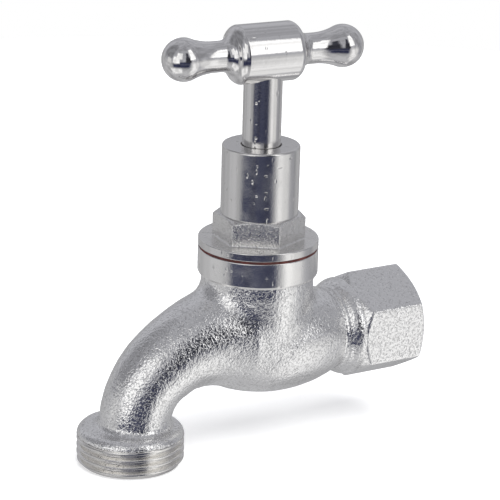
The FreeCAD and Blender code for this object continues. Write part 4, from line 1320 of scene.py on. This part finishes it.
@dataclass(frozen=True)
class Studio:
    """Floor, surroundings, lamp and camera.

    Attributes:
        floor_height: place of the floor along +Z, in mm.
        floor_radii: radii of the floor's rings, in mm.
        floor_glow: light that the floor adds for the camera alone.
        upper: brightness and coolness of the upper half of the surroundings.
        lower: the same of the lower half.
        panels: soft patches over both, each over the ones before it.
        clouds: least and greatest share of the light that a slow unevenness leaves.
        lamp_place: place of the lamp, in metres.
        lamp_lean: its turn about +X, which points it at the tap, in radians.
        lamp_size: its width, in metres.
        lamp_power: its power, in watts.
        camera: the camera.
    """

    floor_height: float = -25.6
    floor_radii: tuple[float, ...] = (0.0, 60.0, 160.0, 420.0)
    floor_glow: float = 0.42
    upper: tuple[float, float] = (0.42, 0.05)
    lower: tuple[float, float] = (0.50, 0.02)
    panels: tuple[Panel, ...] = (
        # Dim walls and ceiling behind the tap, beside it and over the camera.
        Panel(180, 50, 60, 35, 15, 0.45, 0.05),
        Panel(180, -30, 70, 35, 20, 0.45, 0.02),
        Panel(-90, 40, 30, 30, 15, 0.25, 0.05),
        Panel(0, 70, 60, 10, 10, 0.35, 0.05),
        Panel(105, 5, 20, 35, 10, 0.35, 0.05),
        # Bright table left and right of the tap, and a lamp beyond the left one.
        Panel(-40, -45, 35, 15, 12, 0.95),
        Panel(72, -35, 22, 28, 15, 0.90),
        Panel(-75, 0, 12, 10, 8, 0.65),
        # The dark side of the room, before the tap and up behind the camera.
        Panel(-8, -20, 47, 10, 15, 0.05, 0.60),
        Panel(5, -6, 36, 7, 12, 0.05, 0.60),
        Panel(30, 10, 15, 14, 8, 0.04, 0.20),
        Panel(25, 32, 8, 14, 8, 0.05, 0.20),
        # Three windows: right, left and high up.
        Panel(55, 33, 14, 25, 7, 1.30),
        Panel(-35, 8, 18, 15, 8, 1.05),
        Panel(-20, 30, 17, 15, 9, 1.15),
    )
    clouds: tuple[float, float] = (0.80, 1.20)
    lamp_place: tuple[float, float, float] = (-0.05, 0.25, 0.7)
    lamp_lean: float = -0.35
    lamp_size: float = 0.9
    lamp_power: float = 7.0
    camera: PhotoCamera = PhotoCamera()

    def patch_group(self) -> bpy.types.NodeTree:
        """A group that gives how much of a soft-edged patch a direction meets."""
        names = ("Azimuth", "Height", "Half width", "Half height", "Soft")
        inputs = (("Direction", "Vector"), *((name, "Float") for name in names))
        work, given, out = new_group("soft_patch", inputs, ("Mask",))
        direction, azimuth, height, half_width, half_height, soft = given
        turn = work.add("ShaderNodeVectorRotate", rotation_type="Z_AXIS")
        work.feed(direction, turn.inputs["Vector"])
        work.feed(work.sum("RADIANS", work.sum("MULTIPLY", azimuth, -1.0)), turn.inputs["Angle"])
        ahead, across, up = work.split(turn.outputs[0])
        aside = work.sum("DEGREES", work.sum("ABSOLUTE", work.sum("ARCTAN2", across, ahead)))
        above = work.sum("DEGREES", work.sum("ARCSINE", up))
        off = work.sum("ABSOLUTE", work.sum("SUBTRACT", above, height))
        edge = work.sum("MULTIPLY", soft, 0.5)
        masks = [work.ramp(distance, work.sum("SUBTRACT", half, edge), work.sum("ADD", half, edge), 1.0, 0.0)
                 for distance, half in ((aside, half_width), (off, half_height))]
        work.feed(work.sum("MULTIPLY", *masks), out.inputs[0])
        return work.tree

    def build_world(self) -> None:
        """Paint the surroundings: soft patches over two halves, slightly uneven, and white to the camera."""
        world = bpy.data.worlds.new("studio")
        bpy.context.scene.world = world
        world.use_nodes = True
        world.node_tree.nodes.clear()
        work = Tree(world.node_tree)
        direction = work.add("ShaderNodeTexCoord").outputs["Generated"]
        horizon = work.ramp(work.split(direction)[2], -0.08, 0.08)
        colour = work.mix(horizon, grey(*self.lower), grey(*self.upper))
        tree = self.patch_group()
        for item in self.panels:
            group = work.add("ShaderNodeGroup", node_tree=tree)
            azimuth = self.camera.azimuth + item.aside
            values = (direction, azimuth, item.height, item.half_width, item.half_height, item.soft)
            for value, socket in zip(values, group.inputs):
                work.feed(value, socket)
            colour = work.mix(group.outputs[0], colour, grey(item.bright, item.cool))
        clouds = work.ramp(work.noise(direction, 2.6, 3.0, 0.6), 0.32, 0.68, *self.clouds)
        seen = work.add("ShaderNodeLightPath").outputs["Is Camera Ray"]
        background = work.add("ShaderNodeBackground")
        shown = work.mix(seen, work.scaled(colour, clouds), (1.0, 1.0, 1.0, 1.0))
        work.feed(shown, background.inputs["Color"])
        out = work.add("ShaderNodeOutputWorld")
        work.feed(background.outputs[0], out.inputs[0])

    def build_floor(self) -> None:
        """Lay the pale round floor, which keeps the shadow; the camera sees it white, metal sees past it."""
        radius = np.array(self.floor_radii)[:, None]
        grid = upright(SPINDLE_X)(*np.broadcast_arrays(radius, self.floor_height, even_turn(96)[None]))
        floor = Shell("floor").grid(grid).make()
        made = bpy.data.materials.new("pale_floor")
        made.use_nodes = True
        work = Tree(made.node_tree)
        shader = made.node_tree.nodes["Principled BSDF"]
        for name, value in (("Base Color", (0.92, 0.92, 0.92, 1)), ("Roughness", 0.9),
                            ("Specular IOR Level", 0.0), ("Emission Color", (1, 1, 1, 1))):
            shader.inputs[name].default_value = value
        path = work.add("ShaderNodeLightPath").outputs
        glow = work.sum("MULTIPLY", path["Is Camera Ray"], self.floor_glow)
        work.feed(glow, shader.inputs["Emission Strength"])
        clear = work.add("ShaderNodeBsdfTransparent")
        both = work.add("ShaderNodeMixShader")
        past = work.sum("MAXIMUM", path["Is Glossy Ray"], path["Is Transmission Ray"])
        for value, socket in zip((past, shader.outputs[0], clear.outputs[0]), both.inputs):
            work.feed(value, socket)
        work.feed(both.outputs[0], made.node_tree.nodes["Material Output"].inputs[0])
        floor.data.materials.append(made)

    def build_lamp(self) -> None:
        """Hang one broad lamp above for an even, soft light; mirrors show only the surroundings."""
        data = bpy.data.lights.new("overhead_lamp", "AREA")
        data.shape = "DISK"
        data.size = self.lamp_size
        data.energy = self.lamp_power
        lamp = bpy.data.objects.new("overhead_lamp", data)
        lamp.matrix_world = Matrix.Translation(self.lamp_place) @ Matrix.Rotation(self.lamp_lean, 4, "X")
        lamp.visible_glossy = False
        bpy.context.scene.collection.objects.link(lamp)

    def build(self) -> None:
        """Set up the studio."""
        bpy.context.scene.view_settings.view_transform = "Standard"
        self.build_world()
        self.build_floor()
        self.build_lamp()
        self.camera.build()


def main() -> None:
    """Build the pieces in order, dress them and set up the studio."""
    library = FinishLibrary()
    for part in (CastBody(), Bonnet(), Spindle(), TeeHandle()):
        made = part.build()
        part.dress(made, library)
        for piece in made if isinstance(made, list) else [made]:
            log.info("%s: %d faces on %s", piece.name, len(piece.data.polygons), part.body)
    dress_inner_parts(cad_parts, library)
    log.info("inner parts dressed: %d", len(INNER_FINISHES))
    Studio().build()


if __name__ == "__main__":
    logging.basicConfig(level=logging.INFO, format="%(message)s")
    main()
